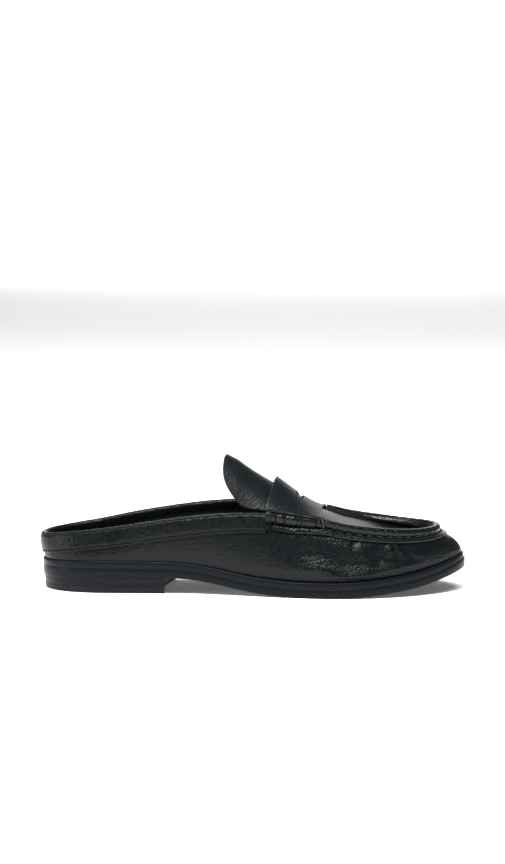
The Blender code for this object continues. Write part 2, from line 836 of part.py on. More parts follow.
def make_saddle_strap(material):
    """The strap across the instep: one piece with a slit, opened in its middle."""
    back_rows, front_rows = 5, 5
    points, wide = [], STRAP_COLUMNS + 1
    for i in range(back_rows + front_rows):
        for j in range(wide):
            across = 2 * j / STRAP_COLUMNS - 1
            back = from_heel(STRAP_BACK) - STRAP_FLARE_BACK * across**2
            front = from_heel(STRAP_FRONT) + STRAP_FLARE_FRONT * across**2
            open_share = max(0.0, 1 - (across / SLIT_REACH) ** 2)
            half_slit = (SLIT_END_WIDTH + (SLIT_WIDTH - SLIT_END_WIDTH) * open_share) / 2
            slit = from_heel(SLIT_PLACE)
            if i < back_rows:
                x = back + (slit - half_slit - back) * i / (back_rows - 1)
            else:
                x = slit + half_slit + (front - slit - half_slit) * (i - back_rows) / (front_rows - 1)
            points.append(strap_point(across, x))
    faces = []
    for i in range(back_rows + front_rows - 1):
        for j in range(STRAP_COLUMNS):
            middle = (2 * j + 1) / STRAP_COLUMNS - 1
            if i == back_rows - 1 and abs(middle) < SLIT_REACH:
                continue
            faces.append([i * wide + j, (i + 1) * wide + j, (i + 1) * wide + j + 1, i * wide + j + 1])
    return sheet("saddle_strap", points, faces, material, before=STRAP_THICK)


def centre_on_floor():
    """Moves the shoe so that the middle of its box lies over the origin."""
    objects = [obj for obj in bpy.context.scene.objects if obj.type == "MESH"]
    corners = np.vstack([[vertex.co for vertex in obj.data.vertices] for obj in objects])
    middle = (corners.min(axis=0) + corners.max(axis=0)) / 2
    for obj in objects:
        for vertex in obj.data.vertices:
            vertex.co.x -= middle[0]
            vertex.co.y -= middle[1]


def main():
    for obj in list(bpy.data.objects):
        bpy.data.objects.remove(obj)
    grained = leather("grained leather", (0.018, 0.019, 0.021), 0.48)
    lining = leather("lining leather", (0.016, 0.018, 0.019), 0.55)
    edge = leather("painted sole edge", (0.014, 0.017, 0.020), 0.42)
    rubber = leather("heel rubber", (0.013, 0.015, 0.017), 0.60)
    make_outsole(edge)
    make_welt(edge)
    make_insole(lining)
    make_heel(edge, rubber)
    make_upper(grained)
    make_collar_band(grained)
    make_apron_roll(grained)
    make_beef_roll("beef_roll_lateral", LATERAL, grained)
    make_beef_roll("beef_roll_medial", MEDIAL, grained)
    make_tongue(grained)
    make_saddle_strap(grained)
    centre_on_floor()


main()
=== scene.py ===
"""A right penny loafer mule in black grained leather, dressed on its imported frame.

The file follows the shoe as it is put together, from the sole up, then the studio. Lengths are in metres.
"""

import math

import bpy
import numpy as np
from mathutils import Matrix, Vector


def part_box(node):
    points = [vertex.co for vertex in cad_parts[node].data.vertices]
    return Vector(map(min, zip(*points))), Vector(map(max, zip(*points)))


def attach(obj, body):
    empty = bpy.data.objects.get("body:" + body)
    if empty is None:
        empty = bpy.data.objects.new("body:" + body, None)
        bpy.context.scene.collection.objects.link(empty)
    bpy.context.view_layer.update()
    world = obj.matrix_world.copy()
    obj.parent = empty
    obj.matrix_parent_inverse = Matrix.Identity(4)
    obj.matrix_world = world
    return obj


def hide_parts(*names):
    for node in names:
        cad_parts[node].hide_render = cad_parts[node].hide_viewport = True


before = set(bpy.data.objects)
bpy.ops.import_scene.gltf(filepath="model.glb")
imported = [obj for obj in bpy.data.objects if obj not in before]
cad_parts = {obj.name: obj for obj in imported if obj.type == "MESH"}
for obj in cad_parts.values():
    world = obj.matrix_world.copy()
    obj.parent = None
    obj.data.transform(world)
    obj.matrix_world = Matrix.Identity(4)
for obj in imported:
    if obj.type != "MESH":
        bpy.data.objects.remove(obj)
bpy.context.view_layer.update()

# Outsole. The lower layer of the sole: a sheet of dense rubber cut to the last's outline.
# It is trimmed flush with the welt, and its edge is painted black and rubbed to a satin.

LENGTH, BALL_WIDTH = 0.2668, 0.092
HEEL_HEIGHT, TOE_SPRING = 0.0107, 0.0142
OUTSOLE_THICK, GAP = 0.0050, 0.0003
TOE_TAPER, TRIMMED = 0.0014, 0.00012
LATERAL, MEDIAL = -1, 1

# along the sole, half widths of the lateral and medial sides as shares of the ball's width
OUTLINE = np.array([
    (0.000, 0.000, 0.000), (0.010, 0.130, 0.130), (0.035, 0.225, 0.225), (0.075, 0.294, 0.290),
    (0.130, 0.333, 0.324), (0.200, 0.340, 0.325), (0.280, 0.340, 0.305), (0.360, 0.350, 0.294),
    (0.440, 0.382, 0.323), (0.520, 0.428, 0.383), (0.600, 0.474, 0.445), (0.680, 0.500, 0.488),
    (0.760, 0.485, 0.500), (0.830, 0.430, 0.478), (0.890, 0.348, 0.423), (0.935, 0.258, 0.350),
    (0.968, 0.165, 0.262), (0.990, 0.070, 0.166), (1.000, -0.045, 0.045),
])
# along the sole, the arch as a share of the heel's height, the spring as a share of the toe's
UNDERSIDE = np.array([
    (0.000, 0.88, 0), (0.050, 0.94, 0), (0.110, 0.985, 0), (0.180, 1.00, 0),
    (0.250, 0.99, 0), (0.300, 0.96, 0), (0.340, 0.90, 0), (0.380, 0.79, 0),
    (0.420, 0.62, 0), (0.460, 0.42, 0), (0.510, 0.21, 0), (0.560, 0.08, 0),
    (0.620, 0.00, 0), (0.700, 0.00, 0), (0.740, 0, 0.035), (0.790, 0, 0.120),
    (0.835, 0, 0.225), (0.885, 0, 0.375), (0.935, 0, 0.605), (0.970, 0, 0.800),
    (1.000, 0.00, 1.000),
])

low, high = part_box("outsole")
SHIFT = np.array([(low.x + high.x) / 2, (low.y + high.y) / 2, 0.0])


def blend(t, start, end, start_slope, end_slope):
    """A smooth step from one value to another with the given slopes at its ends."""
    rest = 1 - t
    ends = start * rest**2 * (1 + 2 * t) + end * t**2 * (1 + 2 * rest)
    return ends + t * rest * (start_slope * rest - end_slope * t)


def smooth_curve(places, values):
    """A smooth function through the values that never overshoots them."""
    step = np.diff(places)
    slope = np.diff(values) / step
    tangent = np.concatenate([slope[:1], np.zeros(len(slope) - 1), slope[-1:]])
    for i in range(1, len(slope)):
        if slope[i - 1] * slope[i] > 0:
            before, after = 2 * step[i] + step[i - 1], step[i] + 2 * step[i - 1]
            tangent[i] = (before + after) / (before / slope[i - 1] + after / slope[i])

    def curve(place):
        place = np.clip(place, places[0], places[-1])
        i = np.clip(np.searchsorted(places, place, "right") - 1, 0, len(step) - 1)
        t = (place - places[i]) / step[i]
        return blend(t, values[i], values[i + 1], step[i] * tangent[i], step[i] * tangent[i + 1])

    return curve


def column(table, number):
    return smooth_curve(table[:, 0], table[:, number])


def rail(along, lateral, medial):
    """A closed curve round the shoe: its place is 0 at the heel, 1 at the toe, negative on the lateral side."""
    last = len(along) - 1
    places = np.concatenate([STATION, 2 - STATION[last - 1 : 0 : -1]])
    points = np.vstack([medial, lateral[last - 1 : 0 : -1]])
    step = np.diff(np.append(places, 2.0))
    chord = (np.roll(points, -1, axis=0) - points) / step[:, None]
    system = np.zeros((len(places), len(places)))
    for i in range(len(places)):
        system[i, i - 1] += step[i]
        system[i, i] += 2 * (step[i - 1] + step[i])
        system[i, (i + 1) % len(places)] += step[i - 1]
    known = 3 * (step[:, None] * np.roll(chord, 1, axis=0) + np.roll(step, 1)[:, None] * chord)
    tangent = np.linalg.solve(system, known)

    def curve(place):
        place = np.mod(place, 2.0)
        i = np.searchsorted(places, place, "right") - 1
        j = (i + 1) % len(places)
        long = step[i][..., None]
        t = (place - places[i])[..., None] / long
        return blend(t, points[i], points[j], long * tangent[i], long * tangent[j])

    return curve


def unit(vectors):
    return vectors / np.linalg.norm(vectors, axis=-1, keepdims=True)


def ease(value, start, end):
    share = np.clip((value - start) / (end - start), 0.0, 1.0)
    return share * share * (3 - 2 * share)


across = np.hypot(np.diff(OUTLINE[:, 0]) * LENGTH, np.diff(OUTLINE[:, 1]) * BALL_WIDTH)
across = across + np.hypot(np.diff(OUTLINE[:, 0]) * LENGTH, np.diff(OUTLINE[:, 2]) * BALL_WIDTH)
STATION = np.concatenate([[0], np.cumsum(across)]) / across.sum()
along = OUTLINE[:, 0] * LENGTH - LENGTH / 2
outline_rail = rail(
    along,
    np.stack([along, -OUTLINE[:, 1] * BALL_WIDTH], axis=1),
    np.stack([along, OUTLINE[:, 2] * BALL_WIDTH], axis=1),
)
arch_share, spring_share = column(UNDERSIDE, 1), column(UNDERSIDE, 2)


def outward(place):
    """The level direction straight out of the sole's edge."""
    ahead = outline_rail(place + 1e-4) - outline_rail(place - 1e-4)
    out = np.stack([-ahead[..., 1], ahead[..., 0], np.zeros_like(ahead[..., 0])], axis=-1)
    return unit(out)


def sole_edge(place, inset):
    return outline_rail(place) - outward(place)[..., :2] * np.asarray(inset)[..., None]


def underside(x):
    share = x / LENGTH + 0.5
    return HEEL_HEIGHT * arch_share(share) + TOE_SPRING * spring_share(share)


def show(name, points, faces, materials, face_slots=None):
    """Adds a piece to the shoe, from points in the last's own frame."""
    mesh = bpy.data.meshes.new(name)
    mesh.from_pydata((np.asarray(points) + SHIFT).tolist(), [], faces)
    for material in materials:
        mesh.materials.append(material)
    if face_slots is not None:
        mesh.polygons.foreach_set("material_index", face_slots)
    mesh.shade_smooth()
    mesh.set_sharp_from_angle(angle=math.radians(45))
    piece = bpy.data.objects.new(name, mesh)
    bpy.context.collection.objects.link(piece)
    return piece


def grid_faces(rows, columns, start=0, wrap=False, turned=False):
    """Faces of a grid of points stored row by row. Wrap joins the last column to the first."""
    faces = []
    for i in range(rows - 1):
        for j in range(columns if wrap else columns - 1):
            k = (j + 1) % columns
            low, high = start + i * columns, start + (i + 1) * columns
            face = [low + j, low + k, high + k, high + j]
            faces.append(face[::-1] if turned else face)
    return faces


def faces_between(rows):
    """Faces between rows that hold the numbers of their points."""
    steps = range(len(rows[0]) - 1)
    return [[a[j], b[j], b[j + 1], a[j + 1]] for a, b in zip(rows, rows[1:]) for j in steps]


def slab(rings, columns, across_count):
    """A closed layer from rings of the form (inset, height above x) and its two caps, as points and faces."""
    shares = np.linspace(0, 1, columns + 1)
    shares = shares - 0.045 * np.sin(2 * math.pi * shares)
    loop = np.concatenate([-shares[:-1], shares[:0:-1]])
    points, faces = [], []
    for inset, height in rings:
        edge = sole_edge(loop, inset(loop))
        points.append(np.column_stack([edge, height(edge[:, 0])]))
    faces += grid_faces(len(rings), len(loop), wrap=True)
    count = sum(len(ring) for ring in points)
    for (inset, height), base, up in ((rings[0], 0, False), (rings[-1], (len(rings) - 1) * len(loop), True)):
        lateral = [base + i for i in range(columns + 1)]
        medial = [base + (len(loop) - i) % len(loop) for i in range(columns + 1)]
        ring = points[0] if base == 0 else points[len(rings) - 1]
        rows = []
        for i in range(1, columns):
            a, b = ring[i], ring[len(loop) - i]
            inner = a + (b - a) * (np.arange(1, across_count) / across_count)[:, None]
            inner[:, 2] = height(inner[:, 0])
            rows.append([lateral[i], *range(count, count + len(inner)), medial[i]])
            points.append(inner)
            count += len(inner)
        cap = faces_between(rows)
        cap += [[lateral[0], rows[0][j], rows[0][j + 1]] for j in range(across_count)]
        cap += [[rows[-1][j], lateral[columns], rows[-1][j + 1]] for j in range(across_count)]
        faces += cap if up else [face[::-1] for face in cap]
    return np.vstack(points), faces


def feed(material, node, inputs):
    """Sets each input of a node to a value, or links it to another node's output."""
    for socket, value in inputs.items():
        if isinstance(value, bpy.types.NodeSocket):
            material.node_tree.links.new(value, node.inputs[socket])
        else:
            node.inputs[socket].default_value = value


def new_material(name, inputs):
    material = bpy.data.materials.new(name)
    material.use_nodes = True
    feed(material, material.node_tree.nodes["Principled BSDF"], inputs)
    return material


def add(material, kind, inputs, **settings):
    """Adds a node to a material and gives its outputs."""
    node = material.node_tree.nodes.new("ShaderNode" + kind)
    for setting, value in settings.items():
        setattr(node, setting, value)
    feed(material, node, inputs)
    return node.outputs


def noise(material, place, scale, **detail):
    return add(material, "TexNoise", {"Scale": scale, "Vector": place, **detail})


def spread(material, value, low, high):
    return add(material, "MapRange", {"Value": value, "To Min": low, "To Max": high})["Result"]


def surface(material, colour, dark, light, pattern, height, strength, depth):
    """Lets the colour waver with a pattern, and raises the surface by a height."""
    ends = {"A": (*[c * dark for c in colour], 1), "B": (*[c * light for c in colour], 1)}
    tint = add(material, "Mix", {**ends, "Factor": pattern}, data_type="RGBA")
    bump = add(material, "Bump", {"Strength": strength, "Distance": depth, "Height": height})
    shader = material.node_tree.nodes["Principled BSDF"]
    feed(material, shader, {"Base Color": tint["Result"], "Normal": bump["Normal"]})
    return shader


def rubbed_edge(name, colour, roughness, line_scale):
    """Painted edge: near black, with fine level lines from the trimming wheel and soft, uneven rubbing."""
    material = new_material(name, {"Specular IOR Level": 0.09})
    place = add(material, "TexCoord", {})["Object"]
    stretch = add(material, "Mapping", {"Vector": place, "Scale": (60, 60, line_scale)})["Vector"]
    lines = noise(material, stretch, 1.0, Detail=3.0)["Fac"]
    cloud = noise(material, place, 90.0)["Fac"]
    shader = surface(material, colour, 0.75, 1.35, lines, lines, 0.25, 0.0001)
    feed(material, shader, {"Roughness": spread(material, cloud, roughness - 0.08, roughness + 0.10)})
    return material


def toe_taper(place):
    return TOE_TAPER * ease(np.abs(place), 0.82, 1.0)


def layer(height, thick, taper, rounding):
    """Rings of a layer of the sole, with its two edges slightly rounded."""
    turns = [(1.0, 0.0), (0.3, 0.3), (0.0, 1.0)]
    low = [(inset * TRIMMED, rise * TRIMMED) for inset, rise in turns]
    high = [(inset * rounding, thick - rise * rounding) for inset, rise in turns[::-1]]
    rings = []
    for inset, rise in low + [(0.0, thick / 2)] + high:
        share = taper[0] + (taper[1] - taper[0]) * rise / thick
        rings.append((lambda place, i=inset, s=share: toe_taper(place) * s + i, lambda x, r=rise: height(x) + r))
    return rings


edge_paint = rubbed_edge("edge paint", (0.0034, 0.0046, 0.0062), 0.34, 5000)
points, faces = slab(layer(underside, OUTSOLE_THICK + GAP * 0.85, (0, 0), TRIMMED), 130, 16)
outsole = show("outsole_tread", points, faces, [edge_paint])
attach(outsole, "root")
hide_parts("outsole")

# Welt. The upper layer of the sole, glued to the outsole with a fine joint between them.
# It stands about 2 mm out past the upper, and its rubbed top edge catches the light.

WELT_THICK, WELT_MARGIN, WELT_ROUNDED = 0.0044, 0.0022, 0.0006
# along the sole, how far the upper stands in from the edge, as a share of the margin
MARGIN = np.array([
    (0.00, 0.40), (0.20, 0.45), (0.45, 0.65), (0.62, 1.00), (0.85, 1.00), (0.97, 0.60), (1.00, 0.40),
])
margin_share = column(MARGIN, 1)


def welt_bottom(x):
    return underside(x) + OUTSOLE_THICK + GAP


def seat(x):
    return welt_bottom(x) + WELT_THICK


points, faces = slab(layer(welt_bottom, WELT_THICK, (0.4, 1.0), WELT_ROUNDED), 130, 16)
welt = show("welt_layer", points, faces, [edge_paint])
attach(welt, "root")
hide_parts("welt")

# Heel. Two stacked lifts and a rubber top piece, nailed and glued under the sole and trimmed together.
# The stack stands a little in from the sole, and narrows towards the floor.

TOP_PIECE_THICK, HEEL_TAPER, HEEL_INSET = 0.0037, 0.0013, 0.0004
BREAST_LATERAL, BREAST_MEDIAL, BREAST_HOLLOW = 0.298 * LENGTH, 0.311 * LENGTH, 0.0030
LIFT_LINE, LIFT_EDGE, TOP_PIECE_EDGE = 0.0078, 0.0001, 0.0004


def place_at(curve, x, side):
    """The place round the shoe where a curve passes x."""
    low, high = 0.0, 1.0
    for _ in range(40):
        middle = (low + high) / 2
        if curve(np.array(side * middle))[0] < x:
            low = middle
        else:
            high = middle
    return side * (low + high) / 2


def heel_layer(name, rings, material, rows=60, columns=16):
    """A layer of the heel from rings of the form (inset, height above x), closed by the hollowed breast."""
    lateral_end = place_at(outline_rail, BREAST_LATERAL - LENGTH / 2, LATERAL)
    medial_end = place_at(outline_rail, BREAST_MEDIAL - LENGTH / 2, MEDIAL)
    shares = np.linspace(0, 1, rows + 1) ** 1.2
    levels, faces = [], []
    for inset, height in rings:
        lateral = sole_edge(lateral_end * shares, inset)
        medial = sole_edge(medial_end * shares, inset)
        steps = np.linspace(0, 1, columns + 1)[None, :, None]
        flat = lateral[:, None] + (medial - lateral)[:, None] * steps
        middle = 1 - (2 * steps[..., 0] - 1) ** 2
        flat[..., 0] -= (BREAST_HOLLOW * middle + (inset - HEEL_INSET) * 0.6) * shares[:, None] ** 4
        sheet = np.concatenate([flat, height(flat[..., 0])[..., None]], axis=-1)
        levels.append(np.vstack([sheet[0, :1], sheet[1:].reshape(-1, 3)]))
    wide = columns + 1
    size = len(levels[0])
    for start, up in ((0, False), ((len(rings) - 1) * size, True)):
        cap = [[start, start + 1 + j, start + 2 + j] for j in range(columns)]
        cap += grid_faces(rows, wide, start=start + 1, turned=True)
        faces += cap if up else [face[::-1] for face in cap]
    lateral = [1 + i * wide for i in range(rows)]
    ring = [0] + lateral + [lateral[-1] + j for j in range(1, columns)] + [i + columns for i in lateral][::-1]
    for i in range(len(rings) - 1):
        below, above = [c + i * size for c in ring], [c + (i + 1) * size for c in ring]
        for j in range(len(ring)):
            k = (j + 1) % len(ring)
            faces.append([below[j], below[k], above[k], above[j]])
    return show(name, np.vstack(levels), faces, [material])


def heel_inset(height):
    return HEEL_INSET + HEEL_TAPER * (1 - height / HEEL_HEIGHT)


def level(height):
    return lambda x: np.full(np.shape(x), height)


def rubber(name, colour):
    """Moulded rubber: dull black with a fine stipple."""
    material = new_material(name, {"Roughness": 0.52, "Specular IOR Level": 0.14})
    speck = noise(material, add(material, "TexCoord", {})["Object"], 1400.0)["Fac"]
    surface(material, colour, 0.8, 1.3, speck, speck, 0.3, 0.0001)
    return material


top_rubber = rubber("heel rubber", (0.0046, 0.0058, 0.0074))
top_piece = heel_layer(
    "heel_top_piece_rubber",
    [
        (heel_inset(0) + TOP_PIECE_EDGE, level(0.0)),
        (heel_inset(0), level(TOP_PIECE_EDGE)),
        (heel_inset(TOP_PIECE_THICK), level(TOP_PIECE_THICK + GAP * 0.8 - LIFT_EDGE)),
        (heel_inset(TOP_PIECE_THICK) + LIFT_EDGE, level(TOP_PIECE_THICK + GAP * 0.8)),
    ],
    top_rubber,
)
lifts = heel_layer(
    "heel_lifts",
    [
        (heel_inset(0.004) + LIFT_EDGE, level(TOP_PIECE_THICK + GAP)),
        (heel_inset(0.004), level(TOP_PIECE_THICK + GAP + LIFT_EDGE)),
        (heel_inset(LIFT_LINE), level(LIFT_LINE - LIFT_EDGE)),
        (heel_inset(LIFT_LINE) + 0.00008, level(LIFT_LINE)),
        (heel_inset(LIFT_LINE), level(LIFT_LINE + LIFT_EDGE)),
        (heel_inset(HEEL_HEIGHT), lambda x: underside(x) - GAP * 0.2 - LIFT_EDGE),
        (heel_inset(HEEL_HEIGHT) + LIFT_EDGE, lambda x: underside(x) - GAP * 0.2),
    ],
    edge_paint,
)
for piece, node, slot in (
    (top_piece, "heel_top_piece", "heel rubber"),
    (lifts, "heel_block", "painted sole edge"),
):
    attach(piece, "root")
    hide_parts(node)

# Upper. Vamp, quarters and plug in black milled leather with a round pebble grain, lined with smooth leather.
# It is pulled over the last and under the welt's edge, and its vamp has settled into soft upright folds.

WALL, SIDE_HEIGHT, INSTEP_RISE = 0.0020, 0.038, 0.0674
THROAT = 0.5795
# the top edge: along, lateral and medial as shares of the ball's width,
# and their rises as shares of the side's height
TOP_EDGE = np.array([
    (-0.0015, 0.000, 0.000, 0.358, 0.358), (0.009, 0.122, 0.122, 0.368, 0.368), (0.037, 0.205, 0.205, 0.386, 0.382),
    (0.078, 0.262, 0.260, 0.416, 0.410), (0.132, 0.292, 0.288, 0.458, 0.462), (0.200, 0.312, 0.304, 0.529, 0.556),
    (0.280, 0.325, 0.312, 0.626, 0.660), (0.360, 0.333, 0.318, 0.739, 0.775), (0.440, 0.345, 0.330, 0.887, 0.915),
    (0.515, 0.360, 0.350, 1.000, 1.015), (0.572, 0.368, 0.362, 0.984, 0.990), (0.650, 0.366, 0.362, 0.924, 0.924),
    (0.720, 0.354, 0.355, 0.808, 0.808), (0.785, 0.330, 0.340, 0.700, 0.700), (0.842, 0.286, 0.312, 0.605, 0.605),
    (0.884, 0.220, 0.265, 0.538, 0.538), (0.912, 0.146, 0.204, 0.492, 0.492), (0.928, 0.060, 0.124, 0.462, 0.462),
    (0.933, -0.033, 0.033, 0.452, 0.452),
])
# along, swell and its height, shoulder and its drop: how the wall bulges between sole and top edge
WALL_FORM = np.array([
    (0.00, 0.004, 0.30, 0.000, 0.35), (0.13, 0.012, 0.30, 0.008, 0.35), (0.28, 0.022, 0.30, 0.014, 0.35),
    (0.44, 0.032, 0.28, 0.030, 0.35), (0.60, 0.036, 0.24, 0.052, 0.33), (0.76, 0.032, 0.22, 0.076, 0.27),
    (0.89, 0.018, 0.28, 0.090, 0.15), (0.97, 0.006, 0.34, 0.092, 0.06), (1.00, 0.002, 0.36, 0.092, 0.03),
])
# along, the instep's middle line above the sole as a share of its rise
CROWN = np.array([
    (0.4295, 1.036), (0.4605, 0.998), (0.4865, 0.943), (0.5125, 0.892), (0.5385, 0.842), (0.5765, 0.757),
    (0.6175, 0.665), (0.6545, 0.594), (0.7045, 0.510), (0.7645, 0.436), (0.8145, 0.345), (0.8495, 0.297),
    (0.8975, 0.254), (0.9515, 0.237),
])
# folds of the vamp on each side: x, share up the wall, length along, share tall, lean, depth in mm (ridges positive)
FOLDS = {
    LATERAL: [
        (0.044, 0.53, 0.0150, 0.20, 0.004, -1.4), (0.064, 0.40, 0.0130, 0.22, 0.002, -1.8),
        (0.088, 0.44, 0.0130, 0.24, -0.002, -1.3), (0.042, 0.26, 0.0150, 0.12, 0.000, 0.8),
        (0.063, 0.14, 0.0150, 0.10, 0.000, 0.9), (0.090, 0.22, 0.0150, 0.11, 0.000, 0.9),
        (0.0855, 0.54, 0.0046, 0.34, 0.006, -1.2), (0.0765, 0.52, 0.0034, 0.30, -0.003, 0.7),
        (0.0725, 0.74, 0.0020, 0.16, 0.003, -0.7), (0.0925, 0.62, 0.0026, 0.26, 0.008, 0.6),
        (0.0960, 0.66, 0.0015, 0.26, 0.002, -0.7), (0.0985, 0.60, 0.0015, 0.26, 0.000, 0.5),
        (0.1020, 0.64, 0.0019, 0.28, -0.001, -1.0), (0.1075, 0.45, 0.0034, 0.24, -0.003, 0.6),
        (0.1190, 0.84, 0.0012, 0.12, 0.004, -0.5), (0.1212, 0.84, 0.0010, 0.12, 0.004, 0.4),
    ],
    MEDIAL: [
        (0.046, 0.55, 0.0150, 0.20, 0.004, -1.4), (0.064, 0.46, 0.0130, 0.22, 0.002, -1.7),
        (0.086, 0.46, 0.0130, 0.24, -0.002, -1.2), (0.074, 0.54, 0.0036, 0.30, -0.003, 1.0),
        (0.084, 0.54, 0.0046, 0.32, 0.005, -1.1), (0.0915, 0.62, 0.0026, 0.26, 0.006, 0.8),
        (0.0970, 0.66, 0.0020, 0.26, 0.001, -0.9), (0.1040, 0.55, 0.0030, 0.24, -0.002, 0.5),
        (0.052, 0.22, 0.0180, 0.12, 0.000, 0.8), (0.086, 0.20, 0.0160, 0.11, 0.000, 0.8),
    ],
}


edge_along = TOP_EDGE[:, 0] * LENGTH - LENGTH / 2
edge_rail = rail(
    edge_along,
    np.stack([edge_along, -TOP_EDGE[:, 1] * BALL_WIDTH, TOP_EDGE[:, 3]], axis=1),
    np.stack([edge_along, TOP_EDGE[:, 2] * BALL_WIDTH, TOP_EDGE[:, 4]], axis=1),
)
swell, low_share = column(WALL_FORM, 1), column(WALL_FORM, 2)
shoulder, drop_share = column(WALL_FORM, 3), column(WALL_FORM, 4)
crown_share = column(CROWN, 1)


def feather(place):
    """Where the upper meets the welt."""
    share = outline_rail(place)[..., 0] / LENGTH + 0.5
    edge = sole_edge(place, toe_taper(place) + WELT_MARGIN * margin_share(share))
    return np.concatenate([edge, (seat(edge[..., 0]) + GAP)[..., None]], axis=-1)


def top_edge(place):
    point = edge_rail(place)
    height = seat(point[..., 0]) + point[..., 2] * SIDE_HEIGHT
    return np.concatenate([point[..., :2], height[..., None]], axis=-1)


def plain_wall(place, up):
    """The wall as it comes off the last: up is 0 at the sole and 1 at the top edge."""
    foot, top, out = feather(place), top_edge(place), outward(place)
    share = outline_rail(place)[..., 0] / LENGTH + 0.5
    tall = np.zeros_like(foot)
    tall[..., 2] = top[..., 2] - foot[..., 2]
    low = foot + out * (swell(share) * BALL_WIDTH)[..., None] + tall * low_share(share)[..., None]
    high = top + out * (shoulder(share) * BALL_WIDTH)[..., None] - tall * drop_share(share)[..., None]
    t = np.asarray(up)[..., None]
    return foot * (1 - t) ** 3 + low * 3 * (1 - t) ** 2 * t + high * 3 * (1 - t) * t**2 + top * t**3


def wall_normal(place, up):
    step = 1e-3
    around = plain_wall(place + step, up) - plain_wall(place - step, up)
    upward = plain_wall(place, np.minimum(up + step, 1)) - plain_wall(place, np.maximum(up - step, 0))
    return unit(np.cross(upward, around))


def fold_depth(place, up):
    """How far the folds stand out from the plain wall."""
    x = outline_rail(place)[..., 0]
    depth = np.zeros(np.shape(x))
    for side, folds in FOLDS.items():
        same_side = ease(np.sign(place) * side, 0.0, 1.0)
        for middle, height, long, tall, lean, millimetres in folds:
            away = (x - middle - lean * (up - height) / tall) / long
            rise = (up - height) / tall
            depth += same_side * millimetres * 0.001 * np.exp(-(away**2) - rise**2 * 2.5)
    return depth * ease(up, 0.0, 0.14) * (1 - 0.9 * ease(up, 0.84, 0.98))


def wall(place, up):
    return plain_wall(place, up) + wall_normal(place, up) * fold_depth(place, up)[..., None]


def off_edge(place, down, out):
    """A point down the wall from its top edge, and out from its face. Above the edge, down is negative."""
    place, down, out = np.broadcast_arrays(place, down, out)
    up = np.ones(place.shape)
    top = top_edge(place)
    for _ in range(5):
        reached = np.linalg.norm(plain_wall(place, up) - top, axis=-1)
        slope = np.linalg.norm(plain_wall(place, up) - plain_wall(place, up - 0.01), axis=-1) / 0.01
        up = np.minimum(up - (np.maximum(down, 0) - reached) / slope, 1.0)
    above = unit(top - plain_wall(place, np.full(place.shape, 0.98)))
    point = plain_wall(place, up) + above * np.maximum(-down, 0)[..., None]
    return point + wall_normal(place, up) * out[..., None]


def crown(x):
    return seat(x) + INSTEP_RISE * crown_share(x / LENGTH + 0.5)


def plug(place, across):
    """A point of the plug: across is -1 at the lateral seam and 1 at the medial one."""
    lateral, medial = top_edge(-place), top_edge(place)
    point = lateral + (medial - lateral) * ((across + 1) / 2)[..., None]
    fade = 1 - ease(point[..., 0] / LENGTH + 0.5, 0.88, 0.933)
    arch = (crown(point[..., 0]) - (lateral[..., 2] + medial[..., 2]) / 2) * fade
    power = 2.2 + 3.0 * ease(-arch, 0.0, 0.001)
    point[..., 2] += arch * (1 - np.abs(across) ** power)
    return point


def pebbled(name, colour, roughness, grain=0.0014, depth=0.00024, shine=0.12):
    """Milled leather: round pebbles of uneven size, with fine valleys between them, over a soft sheen."""
    material = new_material(name, {"Specular IOR Level": shine})
    place = add(material, "TexCoord", {})["Object"]
    wander = noise(material, place, 0.35 / grain)["Color"]
    shift = {0: wander, 1: (grain * 0.8,) * 3, 2: place}
    warp = add(material, "VectorMath", shift, operation="MULTIPLY_ADD")["Vector"]
    cells = {"Vector": warp, "Scale": 1 / grain, "Smoothness": 0.35}
    pebble = add(material, "TexVoronoi", cells, feature="SMOOTH_F1")["Distance"]
    ends = {"Value": pebble, "From Min": 0.15, "From Max": 0.75, "To Min": 1.0, "To Max": 0.0}
    dome = add(material, "MapRange", ends)["Result"]
    fine = noise(material, place, 2.6 / grain, Detail=4.0)["Fac"]
    height = add(material, "Math", {0: fine, 1: 0.25, 2: dome}, operation="MULTIPLY_ADD")["Value"]
    shader = surface(material, colour, 0.6, 1.3, dome, height, 1.0, depth)
    patch = noise(material, place, 45.0)["Fac"]
    feed(material, shader, {"Roughness": spread(material, patch, roughness - 0.06, roughness + 0.08)})
    return material


grained = pebbled("grained leather", (0.0034, 0.0046, 0.0052), 0.32, depth=0.00017, shine=0.14)
lining = pebbled("lining leather", (0.0240, 0.0290, 0.0315), 0.50, grain=0.0008, depth=0.00010, shine=0.25)

columns, rows, across_count = 620, 64, 64
shares = np.linspace(0, 1, columns // 2 + 1)
shares = shares - 0.03 * np.sin(2 * math.pi * shares)
throat = place_at(edge_rail, THROAT * LENGTH - LENGTH / 2, MEDIAL)
first = int(np.argmin(np.abs(shares - throat)))
loop = np.concatenate([-shares[:-1], shares[:0:-1]])
ups = np.linspace(0, 1, rows + 1)
outer = wall(*np.broadcast_arrays(loop[None, :], ups[:, None]))
inner_ups = np.linspace(0, 1, 41)
place_grid, up_grid = np.broadcast_arrays(loop[None, :], inner_ups[::-1, None])
inner = wall(place_grid, up_grid) - wall_normal(place_grid, up_grid) * WALL
side = np.vstack([outer.reshape(-1, 3), inner.reshape(-1, 3)])
faces = grid_faces(rows + 1 + len(inner_ups), len(loop), wrap=True)
slots = [0] * (rows * len(loop)) + [1] * (len(inner_ups) * len(loop))
top, lower_top = rows * len(loop), (rows + 1) * len(loop)
on_plug = [first <= min(j, len(loop) - 1 - j) < columns // 2 for j in range(len(loop))]
kept = [n for n in range(len(faces)) if n // len(loop) != rows or not on_plug[n % len(loop)]]
faces, slots = [faces[n] for n in kept], [slots[n] for n in kept]
steps = np.linspace(-1, 1, across_count + 1)[1:-1]
